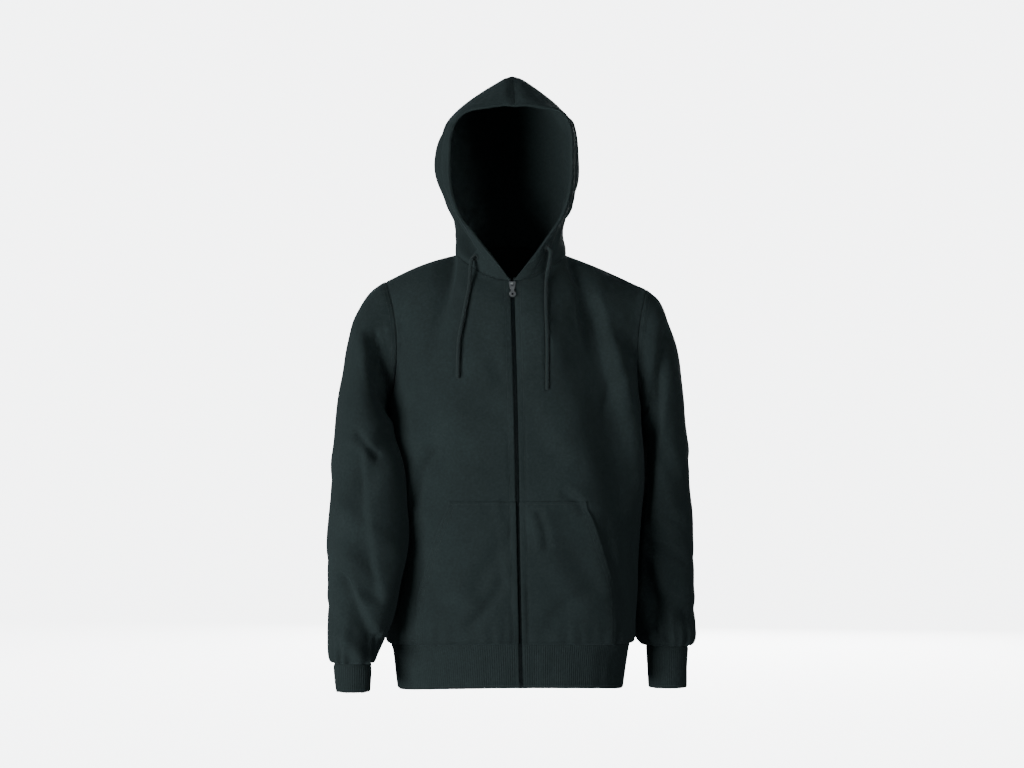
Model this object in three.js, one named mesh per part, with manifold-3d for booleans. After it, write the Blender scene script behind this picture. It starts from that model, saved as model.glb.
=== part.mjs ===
// A hooded sweatshirt with a full front zip, hood up, filled out as when it is worn.
// Millimetres, +Z up. The front faces -Y and the wearer's left is +X. The origin is the
// middle of the neck's base at shoulder height.
import * as THREE from "three";
import * as BufferGeometryUtils from "three/addons/utils/BufferGeometryUtils.js";
import Module from "manifold-3d";

const wasm = await Module();
wasm.setup();

// Driving sizes
const CLOTH = 2.2;
const RIB = 3.0;
const POCKET_CLOTH = 2.0;
const SEAM_GAP = 0.3;
const HOOD_SEAM_GAP = 0.4;
const ZIP_SEAT = 0.2;
const CHEST_Z = -255;
const SEAM_Z = -636;
const POCKET_TOP_Z = -398;
const POCKET_SLANT_Z = -550;
const ZIP_GAP = 3.2;
const SQUARENESS = 2.5;
const FRONT_NECK_COLUMNS = 6;
const BACK_NECK_COLUMNS = 5;
const SHOULDER_COLUMNS = 6;
const ARMHOLE_ROWS = 10;
const SLEEVE_RINGS = 18;
const HOOD_ROWS = 16;
const CHEST_SLOPE_STEP = 20;
const ARMPIT_Z = -262;
const TRUNK_HEIGHTS = [
  SEAM_Z, -627, -612, -585, POCKET_SLANT_Z, -512, -474, -436, POCKET_TOP_Z, -362, -326, -290,
];

const SIDES = { left: 1, right: -1 };
const LOOKS = {
  fleece: { color: 0x10201f, roughness: 0.95, metalness: 0 },
  rib: { color: 0x0f1e1d, roughness: 0.95, metalness: 0 },
  tape: { color: 0x0a1313, roughness: 0.9, metalness: 0 },
  cord: { color: 0x122322, roughness: 0.9, metalness: 0 },
  steel: { color: 0xb9bec0, roughness: 0.3, metalness: 1 },
};

// A table is its column names and a row of numbers for each section
const table = (columns, rows) => ({ columns: columns.split(" "), rows });

// The trunk's outer face: middle, half width, depths and how far the front is lifted
const TRUNK = table("z centre half front back lift", [
  [SEAM_Z, -1, 197, 122, 108, 10],
  [-626, -1, 203, 127, 113, 9],
  [-606, -1, 206, 130, 115, 7],
  [-566, 0, 207, 130, 114, 5],
  [-467, 3, 210, 129, 112, 2],
  [-401, 5, 213, 130, 112, 0],
  [-335, 6, 215, 131, 116, 0],
  [CHEST_Z, 5.5, 208.5, 130, 122, 0],
]);

// The waistband pulls the cloth in below the seam
const WAISTBAND = table("z centre half front back lift", [
  [-709, -1, 185, 119, 103, 10],
  [-672, -1, 189, 120, 104, 10],
  [-648, -1, 193, 120.5, 106, 10],
  [SEAM_Z, -1, 197, 122, 108, 10],
]);
const WAISTBAND_HEIGHTS = [-709, -690, -666, -646, SEAM_Z];

// The zip drifts towards the wearer's left on its way down
const ZIP_LINE = table("z x", [
  [-709, 10],
  [-467, 5],
  [CHEST_Z, 1],
  [-46, -3],
]);

// The pocket's free edge, measured round the front from the zip
const POCKET_EDGE = [
  [SEAM_Z, 158],
  [POCKET_SLANT_Z, 158],
  [POCKET_TOP_Z, 108],
];

// The hood from the neckline to the ridge: the rim, the side and the back seam of each row
const HOOD = table("row rimX rimY rimZ half sideY sideZ backY backZ rimShift backShift", [
  [0, ZIP_GAP, -92, -42, 92, 8, 4, 84, 22, -3, 0],
  [1, 29, -97, -11, 88, 8, 30, 93, 55, -2, -2],
  [2, 55, -92, 21, 91, 10, 57, 105, 90, -3, -3],
  [3, 85, -80, 62, 103, 12, 90, 119, 130, -5, -5],
  [4, 99, -76, 110, 116, 14, 128, 130, 170, -5, -5],
  [5, 101, -80, 160, 118, 14, 164, 131, 207, -5, -5],
  [6, 97, -88, 207, 111, 10, 201, 121, 240, -4, -4],
  [7, 75, -97, 237, 84, 4, 242, 104, 267, -2, -2],
  [8, 40, -103, 250, 45, 0, 274, 86, 283, 0, 0],
  [9, 0, -105, 254, 0, -6, 301, 66, 293, 1, 1],
]);
const RIDGE_TURN = 0.45;

// Above the chest the cloth leans over to the neckline and the shoulder seam: degrees from
// upright at the middle and at the shoulder, and how fast the one gives way to the other
const LEAN = { front: 24, back: 16, shoulder: 82, spread: 1.5, towardsArmhole: 2.2 };
const SHOULDER_BULGE = { left: 2, right: 5 };

// Where walls meet at an angle their mitre is at most this many times the wall
const MITRE_LIMIT = 1.6;
const CORNER_STAND_BACK = 1.45;
const SAME_PLACE = 0.02;

// Each sleeve from the armhole to the cuff: its outer and inner line, middle and depths
const SLEEVE_COLUMNS = "ring outX outZ inX inZ midY front back hollow";
const SLEEVES = {
  left: table(SLEEVE_COLUMNS, [
    [0, 224, -53, 214, CHEST_Z, 0, 52, 54, 14],
    [0.5, 241, -68, 218, -260, 3, 58, 58, 9],
    [1, 255, -89, 221, -265, 8, 64, 64, 4],
    [2, 271, -132, 219, -276, 18, 71, 71, 0],
    [3, 282, -186, 219, -295, 28, 74, 74, 0],
    [4, 291, -250, 216, -322, 38, 74, 73, 0],
    [5, 298, -325, 210, -358, 47, 70, 69, 0],
    [6, 303, -395, 203, -408, 54, 66, 65, 0],
    [7, 307, -460, 197, -464, 58, 62, 62, 0],
    [8, 310, -525, 195, -525, 58, 58, 58, 0],
    [9, 312, -578, 197, -576, 55, 54, 54, 0],
    [10, 312, -612, 203, -609, 50, 50, 50, 0],
    [11, 309, -635, 213, -633, 47, 43, 43, 0],
    [12, 298, -646, 229, -644, 45, 32, 32, 0],
  ]),
  right: table(SLEEVE_COLUMNS, [
    [0, 206, -41, 203, CHEST_Z, 0, 58, 50, 16],
    [0.5, 228, -58, 206.5, -260, -3, 63, 57, 10],
    [1, 247, -85, 210, -265, -8, 69, 64, 5],
    [2, 264, -130, 203, -274, -24, 75, 72, 0],
    [3, 277, -186, 194, -291, -42, 77, 74, 0],
    [4, 287, -250, 182, -318, -62, 75, 73, 0],
    [5, 293, -325, 173, -356, -78, 70, 70, 0],
    [6, 297, -395, 168, -408, -88, 66, 66, 0],
    [7, 300, -460, 171, -464, -94, 62, 62, 0],
    [8, 301, -525, 179, -525, -98, 58, 58, 0],
    [9, 301, -580, 192, -578, -101, 54, 54, 0],
    [10, 300, -616, 205, -613, -103, 49, 49, 0],
    [11, 297, -642, 218, -640, -104, 41, 41, 0],
    [12, 290, -658, 231, -656, -104, 30, 30, 0],
  ]),
};
const CUFF_COLUMNS = "z out in midY deep";
const CUFFS = {
  left: table(CUFF_COLUMNS, [
    [-715, 296, 232, 40, 31],
    [-686, 297, 230, 43, 32],
    [-656, 299, 228, 45, 32.5],
  ]),
  right: table(CUFF_COLUMNS, [
    [-703, 288, 232, -107, 29],
    [-687, 290, 231, -106, 30],
    [-667, 291, 230, -104, 30.5],
  ]),
};
const SLEEVE_CLEARANCE = 3;

// The largest folds: which piece and face, a line from x, z to x, z, half width and depth
const FOLDS = [
  ["front_right", "front", -176, -205, -120, -330, 34, -5],
  ["front_right", "front", -178, -262, -150, -420, 30, 5],
  ["front_right", "front", -60, -545, -14, -470, 30, -4],
  ["front_right", "front", -150, -600, -70, -560, 28, 4],
  ["front_left", "front", 92, -180, 128, -420, 38, -6],
  ["front_left", "front", 150, -210, 176, -470, 34, 6],
  ["front_left", "front", 40, -430, 110, -560, 36, 4],
  ["front_left", "front", 196, -150, 150, -90, 30, -4],
  ["back", "back", -150, -190, -60, -300, 34, -5],
  ["back", "back", 158, -180, 70, -310, 36, -5],
  ["back", "back", -120, -560, 20, -500, 36, 5],
  ["back", "back", 150, -590, 60, -530, 34, 5],
  ["back", "back", -30, -60, -70, -180, 34, -4],
  ["sleeve_right", "front", -206, -300, -262, -388, 30, -7],
  ["sleeve_right", "front", -196, -470, -268, -420, 28, 5],
  ["sleeve_right", "front", -276, -540, -212, -625, 28, -8],
  ["sleeve_right", "front", -292, -600, -240, -655, 22, 6],
  ["sleeve_right", "back", -286, -420, -220, -350, 30, -6],
  ["sleeve_right", "back", -292, -600, -230, -545, 28, -6],
  ["sleeve_left", "front", 252, -330, 290, -400, 26, -5],
  ["sleeve_left", "front", 222, -560, 292, -592, 24, -7],
  ["sleeve_left", "front", 240, -628, 296, -560, 24, 6],
  ["sleeve_left", "back", 286, -440, 210, -380, 32, -7],
  ["sleeve_left", "back", 290, -600, 220, -555, 28, -7],
  ["hood_right", "front", -92, 6, -72, 66, 18, -5],
  ["hood_left", "front", 90, 4, 78, 56, 18, -4],
];

// The free ends of the drawcord, from the eyelet down over the hood and the front. Each
// eyelet's place is a height and a distance round the hood, as its rows and columns count
const CORD = { radius: 3.1, sides: 10, step: 14 };
const EYELET = { outer: 6.2, inner: 3.7, thickness: 1.4, lift: 0.3, nudge: 0.02 };
const EYELET_PLACES = {
  right: [0.66, 0.37],
  left: [1.42, 0.19],
};
const CORD_ROUTES = {
  right: [
    [-61.3, -72.3, -4.4],
    [-65, -75.1, -5.1],
    [-67.8, -77.5, -8.5],
    [-69.2, -79.3, -15],
    [-69.8, -81, -23],
    [-70.3, -83.3, -32],
    [-71.2, -87.3, -42],
    [-72.7, -92, -54],
    [-76.2, -99.4, -71],
    [-79.8, -105.5, -88],
    [-84.2, -112, -110],
    [-88, -116.4, -128],
    [-90.4, -119.9, -146],
    [-91.5, -123.6, -172],
    [-92, -126.2, -201],
  ],
  left: [
    [53.5, -83, 11],
    [57.2, -85.6, 9.7],
    [59.2, -87.1, 6],
    [59.4, -87.5, 0],
    [58.4, -87, -8],
    [56.8, -85.8, -17],
    [55, -84.9, -26],
    [53.6, -85.2, -35],
    [52.8, -89.2, -44],
    [51.9, -96.4, -55],
    [51.2, -105.8, -72],
    [50.9, -112.8, -88],
    [51.6, -122.4, -123],
    [51.9, -127.4, -153],
    [51.5, -129.8, -173],
    [51.4, -131.5, -196],
    [51.3, -132.3, -219],
  ],
};

// Zip: tapes behind the cloth, the chain between its edges, the slider and the pull tab
const TAPE = { thickness: 0.8, width: 15, middleGap: 0.8 };
const CHAIN = { half: 2.5, front: -0.4, back: -2.9 };
const ZIP_BOX = { half: 2.8, height: 9, front: -0.1 };
const SLIDER = {
  belowNeck: 9, top: 11, bottom: 8.6, height: 13, thickness: 1.5, lift: 0.35, corner: 1.6,
  neckHalf: 2.4, neckDepth: 2.5, neckInset: 0.5, bridgeWidth: 2.4, bridgeInner: 1.5, bridgeOuter: 3.1,
  pivotHeight: 1.45, pivotZ: 1.5,
};
const PULL = {
  bar: 0.9, half: 3.2, thickness: 1.4, eyeHalf: 1.8, eyeLength: 4.2, shoulder: 7, chamfer: 1,
  stemHalf: 2.7, endAt: 18, endRadius: 5.4, holeRadius: 2.1,
};

const mix = THREE.MathUtils.lerp;
const clamp = THREE.MathUtils.clamp;
const vec = (x, y, z) => new THREE.Vector3(x, y, z);
const mixPoints = (a, b, t) => a.clone().lerp(b, t);

// The value and slopes of a smooth curve between p1 and p2, even in t
function cubic(p1, slope1, p2, slope2, t) {
  const t2 = t * t;
  const t3 = t2 * t;
  return (
    p1 * (2 * t3 - 3 * t2 + 1) +
    slope1 * (t3 - 2 * t2 + t) +
    p2 * (3 * t2 - 2 * t3) +
    slope2 * (t3 - t2)
  );
}

// A table's values between its rows, on a smooth curve through all of them
function rowAt({ columns, rows }, key) {
  const last = rows.length - 1;
  let k = 0;
  while (k < last - 1 && key > rows[k + 1][0]) k += 1;
  const span = rows[k + 1][0] - rows[k][0];
  const slope = (at, column) => {
    const low = rows[Math.max(at - 1, 0)];
    const high = rows[Math.min(at + 1, last)];
    return (high[column] - low[column]) / (high[0] - low[0]);
  };
  const values = {};
  columns.forEach((name, c) => {
    values[name] = cubic(
      rows[k][c],
      slope(k, c) * span,
      rows[k + 1][c],
      slope(k + 1, c) * span,
      (key - rows[k][0]) / span
    );
  });
  return values;
}

// A straight-sided table of pairs, such as the pocket's edge
function lineAt(pairs, key) {
  let k = 0;
  while (k < pairs.length - 2 && key > pairs[k + 1][0]) k += 1;
  const [from, to] = [pairs[k], pairs[k + 1]];
  return mix(from[1], to[1], (key - from[0]) / (to[0] - from[0]));
}

// A point of a trunk section at an angle from the side, forward to pi / 2 or back to -pi / 2
function sectionPoint(section, side, angle) {
  const across = Math.cos(angle) ** (2 / SQUARENESS);
  const deep = Math.abs(Math.sin(angle)) ** (2 / SQUARENESS);
  if (angle < 0) {
    return vec(section.centre + side * section.half * across, section.back * deep, section.z);
  }
  const drift = rowAt(ZIP_LINE, section.z).x - section.centre;
  return vec(
    section.centre + side * section.half * across + drift * (1 - across * across),
    -section.front * deep,
    section.z + section.lift * deep * deep
  );
}

// Angles at even steps of arc, in two runs of columns that meet at an inner distance
function columnAngles(section, start, end, inner, innerColumns, outerColumns) {
  const samples = 120;
  const angles = [];
  const travel = [0];
  let before = null;
  for (let k = 0; k <= samples; k += 1) {
    angles.push(mix(start, end, k / samples));
    const point = sectionPoint(section, 1, angles[k]);
    if (before) travel.push(travel[k - 1] + point.distanceTo(before));
    before = point;
  }
  const whole = travel[samples];
  const split = inner ?? (whole * innerColumns) / (innerColumns + outerColumns);
  const angleAt = (distance) => {
    let k = 1;
    while (k < samples && travel[k] < distance) k += 1;
    return mix(angles[k - 1], angles[k], (distance - travel[k - 1]) / (travel[k] - travel[k - 1]));
  };
  const result = [];
  for (let j = 0; j <= innerColumns + outerColumns; j += 1) {
    const distance =
      j <= innerColumns
        ? (split * j) / innerColumns
        : mix(split, whole, (j - innerColumns) / outerColumns);
    result.push(angleAt(distance));
  }
  return result;
}

const zipAngle = (section) => Math.acos((ZIP_GAP / section.half) ** (SQUARENESS / 2));

function frontRow(section, side) {
  const inner = section.z < CHEST_Z ? pocketDistance(section.z) : null;
  const angles = columnAngles(
    section, zipAngle(section), 0, inner, FRONT_NECK_COLUMNS, SHOULDER_COLUMNS
  );
  return angles.map((angle) => sectionPoint(section, side, angle));
}

// Above the pocket its edge line leads up to the neck's corner
function pocketDistance(z) {
  const chest = rowAt(TRUNK, CHEST_Z);
  const quarter = columnAngles(chest, zipAngle(chest), 0, null, 1, 1)[1];
  const reach = sectionPoint(chest, 1, quarter).distanceTo(sectionPoint(chest, 1, zipAngle(chest)));
  return lineAt([...POCKET_EDGE, [CHEST_Z, reach]], z);
}

function backRow(section, side) {
  const angles = columnAngles(
    section, -Math.PI / 2, 0, null, BACK_NECK_COLUMNS, SHOULDER_COLUMNS
  );
  return angles.map((angle) => sectionPoint(section, side, angle));
}

// A hood row's point: from 0 at the rim to 1 at the side, and on to 2 at the back seam
function hoodRowPoint(row, side, along) {
  if (along <= 1) {
    const turn = row.half > 1 ? Math.acos(row.rimX / row.half) : RIDGE_TURN;
    const angle = turn * (1 - along);
    const forward = Math.sin(angle) / Math.sin(turn);
    return vec(
      side * row.half * Math.cos(angle) + mix(row.backShift, row.rimShift, forward ** 2),
      mix(row.sideY, row.rimY, forward),
      mix(row.sideZ, row.rimZ, forward ** 2)
    );
  }
  const angle = ((along - 1) * Math.PI) / 2;
  const backward = Math.sin(angle);
  return vec(
    side * row.half * Math.cos(angle) + row.backShift,
    mix(row.sideY, row.backY, backward),
    mix(row.sideZ, row.backZ, backward ** 2)
  );
}

const hoodTableRow = (k) =>
  Object.fromEntries(HOOD.columns.map((name, c) => [name, HOOD.rows[k][c]]));

// A point of the hood, smooth from one table row to the next
function hoodPoint(side, height, along) {
  const last = HOOD.rows.length - 1;
  const k = clamp(Math.floor(height), 0, last - 1);
  const at = (row) => hoodRowPoint(hoodTableRow(clamp(row, 0, last)), side, along);
  const [before, from, to, after] = [at(k - 1), at(k), at(k + 1), at(k + 2)];
  const slopeFrom = k > 0 ? to.clone().sub(before).multiplyScalar(0.5) : to.clone().sub(from);
  const slopeTo =
    k + 1 < last ? after.clone().sub(from).multiplyScalar(0.5) : to.clone().sub(from);
  const t = height - k;
  return vec(
    cubic(from.x, slopeFrom.x, to.x, slopeTo.x, t),
    cubic(from.y, slopeFrom.y, to.y, slopeTo.y, t),
    cubic(from.z, slopeFrom.z, to.z, slopeTo.z, t)
  );
}

// A sleeve's ring: round from the inner line over the front to the outer line and back
function ringPoint(row, side, turn) {
  const out = (1 - Math.cos(turn)) / 2;
  const deep = Math.sin(turn);
  return vec(
    side * (mix(row.inX, row.outX, out) - row.hollow * deep * deep),
    row.midY - (deep > 0 ? row.front : row.back) * deep,
    mix(row.inZ, row.outZ, out)
  );
}

// Keeps a sleeve clear of the trunk, as an arm at rest lies against it
function clearOfTrunk(point, clearance) {
  if (point.z > ARMPIT_Z) return point;
  const section = rowAt(TRUNK, Math.max(point.z, SEAM_Z));
  const depth = point.y < 0 ? section.front : section.back;
  const reach =
    (Math.abs(point.x - section.centre) / (section.half + clearance)) ** SQUARENESS +
    (Math.abs(point.y) / (depth + clearance)) ** SQUARENESS;
  if (reach >= 1) return point;
  const grow = reach ** (-1 / SQUARENESS);
  return vec(section.centre + (point.x - section.centre) * grow, point.y * grow, point.z);
}

// The upper part of a front or back: each column leaves the chest upright and leans over
// towards the neckline or the shoulder seam; the last column is the armhole
function upperRows(chestRow, lowerRow, topLine, armhole, leanAtCentre, leanY) {
  const last = topLine.length - 1;
  const rows = [];
  const rise = chestRow.map((point, j) => point.clone().sub(lowerRow[j]).normalize());
  const column = (j, t) => {
    const from = chestRow[j];
    const to = topLine[j];
    const length = from.distanceTo(to);
    const overShoulder = Math.min(1, (LEAN.spread * j) / last);
    const lean = THREE.MathUtils.degToRad(mix(leanAtCentre, LEAN.shoulder, overShoulder));
    const arrive = vec(0, leanY * Math.sin(lean), Math.cos(lean)).multiplyScalar(length);
    const leave = rise[j].clone().multiplyScalar(length);
    return vec(
      cubic(from.x, leave.x, to.x, arrive.x, t),
      cubic(from.y, leave.y, to.y, arrive.y, t),
      cubic(from.z, leave.z, to.z, arrive.z, t)
    );
  };
  for (let i = 1; i <= ARMHOLE_ROWS; i += 1) {
    const t = i / ARMHOLE_ROWS;
    const pull = armhole[i].clone().sub(column(last, t));
    rows.push(
      topLine.map((top, j) => {
        if (i === ARMHOLE_ROWS) return top.clone();
        return column(j, t).addScaledVector(pull, (j / last) ** LEAN.towardsArmhole);
      })
    );
  }
  return rows;
}

// The normals of a grid of points, from its neighbours
function gridNormals(grid, flip, closed) {
  const rows = grid.length;
  const columns = grid[0].length;
  return grid.map((row, i) =>
    row.map((_, j) => {
      const left = closed ? (j + columns - 1) % columns : Math.max(j - 1, 0);
      const right = closed ? (j + 1) % columns : Math.min(j + 1, columns - 1);
      const along = grid[i][right].clone().sub(grid[i][left]);
      const up = grid[Math.min(i + 1, rows - 1)][j].clone().sub(grid[Math.max(i - 1, 0)][j]);
      return along.cross(up).normalize().multiplyScalar(flip ? -1 : 1);
    })
  );
}

// How deep a fold is at a point: full on its line, fading to nothing at its half width
function foldDepth([, , x1, z1, x2, z2, half, depth], point) {
  const length2 = (x2 - x1) ** 2 + (z2 - z1) ** 2;
  const along = ((point.x - x1) * (x2 - x1) + (point.z - z1) * (z2 - z1)) / length2;
  const t = clamp(along, 0, 1);
  const away = Math.hypot(point.x - mix(x1, x2, t), point.z - mix(z1, z2, t)) / half;
  return away < 1 ? (depth * (1 + Math.cos(Math.PI * away))) / 2 : 0;
}

// Moves a piece's inner points along its folds and leaves its seams where they are
function addFolds(name, grid, flip, closed) {
  const normals = gridNormals(grid, flip, closed);
  return grid.map((row, i) =>
    row.map((point, j) => {
      const onEnd = i === 0 || i === grid.length - 1;
      const onSide = !closed && (j === 0 || j === row.length - 1);
      const byZip = name.startsWith("front") && j === 1;
      if (onEnd || onSide || byZip) return point;
      const normal = normals[i][j];
      let push = 0;
      for (const fold of FOLDS) {
        const facing = fold[1] === "front" ? -normal.y : normal.y;
        if (fold[0] === name && facing > 0) push += foldDepth(fold, point) * facing;
      }
      return point.clone().addScaledVector(normal, push);
    })
  );
}

// Every cloth piece is a grid of outer points; seams share their points with the next piece
const cloth = {};

function addCloth(name, grid, { flip = false, closed = false, thickness = CLOTH, look = "fleece" }) {
  cloth[name] = { grid: addFolds(name, grid, flip, closed), flip, closed, thickness, look };
}

const chest = rowAt(TRUNK, CHEST_Z);
const belowChest = rowAt(TRUNK, CHEST_Z - CHEST_SLOPE_STEP);
const columnsRound = FRONT_NECK_COLUMNS + SHOULDER_COLUMNS;
const backColumns = BACK_NECK_COLUMNS + SHOULDER_COLUMNS;

// The neckline and the shoulder seam, from the middle of the front or back to the tip
function topLine(sideName, fromFront) {
  const side = SIDES[sideName];
  const neckColumns = fromFront ? FRONT_NECK_COLUMNS : BACK_NECK_COLUMNS;
  const line = [];
  for (let j = 0; j <= neckColumns; j += 1) {
    line.push(hoodPoint(side, 0, fromFront ? j / neckColumns : 2 - j / neckColumns));
  }
  const neck = line[neckColumns];
  const tip = ringPoint(rowAt(SLEEVES[sideName], 0), side, Math.PI);
  for (let j = 1; j <= SHOULDER_COLUMNS; j += 1) {
    const t = j / SHOULDER_COLUMNS;
    const point = mixPoints(neck, tip, t);
    if (j < SHOULDER_COLUMNS) point.z += SHOULDER_BULGE[sideName] * Math.sin(Math.PI * t);
    line.push(point);
  }
  return line;
}

function armholeLine(sideName, direction) {
  const row = rowAt(SLEEVES[sideName], 0);
  const line = [];
  for (let i = 0; i <= ARMHOLE_ROWS; i += 1) {
    line.push(ringPoint(row, SIDES[sideName], (direction * Math.PI * i) / ARMHOLE_ROWS));
  }
  return line;
}

const backHalves = {};
for (const [sideName, side] of Object.entries(SIDES)) {
  const lower = TRUNK_HEIGHTS.map((z) => frontRow(rowAt(TRUNK, z), side));
  const chestRow = frontRow(chest, side);
  const frontArmhole = armholeLine(sideName, 1);
  chestRow[columnsRound] = frontArmhole[0].clone();
  const upper = upperRows(
    chestRow, frontRow(belowChest, side), topLine(sideName, true), frontArmhole, LEAN.front, 1
  );
  addCloth(`front_${sideName}`, [...lower, chestRow, ...upper], { flip: side < 0 });

  const backLower = TRUNK_HEIGHTS.map((z) => backRow(rowAt(TRUNK, z), side));
  const backChest = backRow(chest, side);
  const backArmhole = armholeLine(sideName, -1);
  backChest[backColumns] = backArmhole[0].clone();
  const backUpper = upperRows(
    backChest, backRow(belowChest, side), topLine(sideName, false), backArmhole, LEAN.back, -1
  );
  backHalves[sideName] = [...backLower, backChest, ...backUpper];
}
const backGrid = backHalves.right.map((row, i) => [
  ...row.slice(1).reverse(),
  ...backHalves.left[i],
]);
addCloth("back", backGrid, { flip: true });

// Sleeves: the first ring is the armhole itself, the rest lie clear of the trunk
const RING_TURNS = 2 * ARMHOLE_ROWS;
for (const [sideName, side] of Object.entries(SIDES)) {
  const last = SLEEVES[sideName].rows.at(-1)[0];
  const rings = [];
  for (let k = 0; k <= SLEEVE_RINGS; k += 1) {
    const row = rowAt(SLEEVES[sideName], (last * k) / SLEEVE_RINGS);
    const clearance = Math.min(SLEEVE_CLEARANCE, k);
    const ring = [];
    for (let m = 0; m < RING_TURNS; m += 1) {
      const point = ringPoint(row, side, (Math.PI * m) / ARMHOLE_ROWS);
      ring.push(k === 0 ? point : clearOfTrunk(point, clearance));
    }
    rings.push(ring);
  }
  addCloth(`sleeve_${sideName}`, rings, { flip: side > 0, closed: true });

  const cuffRows = CUFFS[sideName].rows;
  const cuffRings = [rings[SLEEVE_RINGS].map((point) => point.clone())];
  for (let k = cuffRows.length - 1; k >= 0; k -= 1) {
    const [z, out, inner, midY, deep] = cuffRows[k];
    const row = { outX: out, outZ: z, inX: inner, inZ: z, midY, front: deep, back: deep, hollow: 0 };
    const turns = Array.from({ length: RING_TURNS }, (_, m) => (Math.PI * m) / ARMHOLE_ROWS);
    cuffRings.push(turns.map((turn) => ringPoint(row, side, turn)));
  }
  addCloth(`cuff_${sideName}`, cuffRings, {
    flip: side > 0, closed: true, thickness: RIB, look: "rib",
  });
}

// Waistband: one strip from the zip round the back to the zip again
const waistbandRow = (z) => {
  if (z === SEAM_Z) {
    const front = { left: cloth.front_left.grid[0], right: cloth.front_right.grid[0] };
    const back = cloth.back.grid[0].slice(1, -1);
    return [...front.left, ...back.reverse(), ...[...front.right].reverse()];
  }
  const section = rowAt(WAISTBAND, z);
  const left = frontRow(section, 1);
  const right = frontRow(section, -1);
  const back = [
    ...backRow(section, -1).slice(1, -1).reverse(),
    ...backRow(section, 1).slice(0, -1),
  ];
  return [...left, ...back.reverse(), ...right.reverse()];
};
addCloth("waistband", WAISTBAND_HEIGHTS.map(waistbandRow), { thickness: RIB, look: "rib" });

// Hood: two panels that meet on the ridge and down the back
const HOOD_TOP = HOOD.rows.length - 1;
const hoodColumns = FRONT_NECK_COLUMNS + BACK_NECK_COLUMNS;
for (const [sideName, side] of Object.entries(SIDES)) {
  const rows = [];
  for (let i = 0; i <= HOOD_ROWS; i += 1) {
    const row = [];
    for (let j = 0; j <= hoodColumns; j += 1) {
      const along =
        j <= FRONT_NECK_COLUMNS
          ? j / FRONT_NECK_COLUMNS
          : 1 + (j - FRONT_NECK_COLUMNS) / BACK_NECK_COLUMNS;
      row.push(hoodPoint(side, (HOOD_TOP * i) / HOOD_ROWS, along));
    }
    rows.push(row);
  }
  addCloth(`hood_${sideName}`, rows, { flip: side < 0 });
}

// One direction through the wall for all the pieces that meet at a point, so that their
// walls meet in a mitre
const meeting = new Map();
const placeKey = (p) => p.toArray().map((v) => Math.round(v / SAME_PLACE)).join(",");

function eachQuad(grid, closed, visit) {
  const columns = grid[0].length;
  const steps = closed ? columns : columns - 1;
  for (let i = 0; i + 1 < grid.length; i += 1) {
    for (let j = 0; j < steps; j += 1) {
      visit([i, j], [i, (j + 1) % columns], [i + 1, (j + 1) % columns], [i + 1, j]);
    }
  }
}

for (const { grid, flip, closed } of Object.values(cloth)) {
  eachQuad(grid, closed, (...corners) => {
    const [a, b, c, d] = corners.map(([i, j]) => grid[i][j]);
    const normal = c.clone().sub(a).cross(d.clone().sub(b)).normalize();
    if (flip) normal.negate();
    for (const corner of [a, b, c, d]) {
      const key = placeKey(corner);
      const entry = meeting.get(key) ?? { sum: vec(0, 0, 0), count: 0 };
      entry.sum.add(normal);
      entry.count += 1;
      meeting.set(key, entry);
    }
  });
}

// The way out through the wall at a point, longer where walls meet at an angle
function wayOut(point) {
  const { sum, count } = meeting.get(placeKey(point));
  const stretch = Math.min(MITRE_LIMIT, count / sum.length());
  return sum.clone().normalize().multiplyScalar(stretch);
}

// A grid whose edges stand back from the seam by half the gap
function standBack(grid, closed, distance) {
  const rows = grid.length - 1;
  const columns = grid[0].length - 1;
  return grid.map((row, i) =>
    row.map((point, j) => {
      const stepI = i === 0 ? 1 : i === rows ? -1 : 0;
      const stepJ = closed ? 0 : j === 0 ? 1 : j === columns ? -1 : 0;
      if (!stepI && !stepJ) return point;
      const towards = grid[i + stepI][j + stepJ].clone().sub(point).normalize();
      const onCorner = stepI && stepJ ? CORNER_STAND_BACK : 1;
      return point.clone().addScaledVector(towards, distance * onCorner);
    })
  );
}

// A closed wall between two grids of the same shape, outer and inner
function wallGeometry(outer, inner, flip, closed) {
  const columns = outer[0].length;
  const points = [...outer.flat(), ...inner.flat()];
  const outerAt = (i, j) => i * columns + (j % columns);
  const innerAt = (i, j) => outer.length * columns + outerAt(i, j);
  const faces = [];
  const quad = (a, b, c, d) => faces.push(a, b, c, a, c, d);
  eachQuad(outer, closed, (a, b, c, d) => {
    quad(outerAt(...a), outerAt(...b), outerAt(...c), outerAt(...d));
    quad(innerAt(...a), innerAt(...d), innerAt(...c), innerAt(...b));
  });
  const steps = closed ? columns : columns - 1;
  const top = outer.length - 1;
  for (let j = 0; j < steps; j += 1) {
    quad(innerAt(0, j), innerAt(0, j + 1), outerAt(0, j + 1), outerAt(0, j));
    quad(outerAt(top, j), outerAt(top, j + 1), innerAt(top, j + 1), innerAt(top, j));
  }
  if (!closed) {
    for (let i = 0; i < top; i += 1) {
      quad(outerAt(i, 0), outerAt(i + 1, 0), innerAt(i + 1, 0), innerAt(i, 0));
      const end = columns - 1;
      quad(innerAt(i, end), innerAt(i + 1, end), outerAt(i + 1, end), outerAt(i, end));
    }
  }
  if (flip) {
    for (let f = 0; f < faces.length; f += 3) [faces[f], faces[f + 1]] = [faces[f + 1], faces[f]];
  }
  const geometry = new THREE.BufferGeometry();
  geometry.setAttribute(
    "position", new THREE.Float32BufferAttribute(points.flatMap((p) => [p.x, p.y, p.z]), 3)
  );
  geometry.setIndex(faces);
  return geometry;
}

const group = new THREE.Group();

function addMesh(name, geometry, look) {
  const mesh = new THREE.Mesh(geometry, new THREE.MeshStandardMaterial(LOOKS[look]));
  mesh.name = name;
  group.add(mesh);
  return mesh;
}

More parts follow.
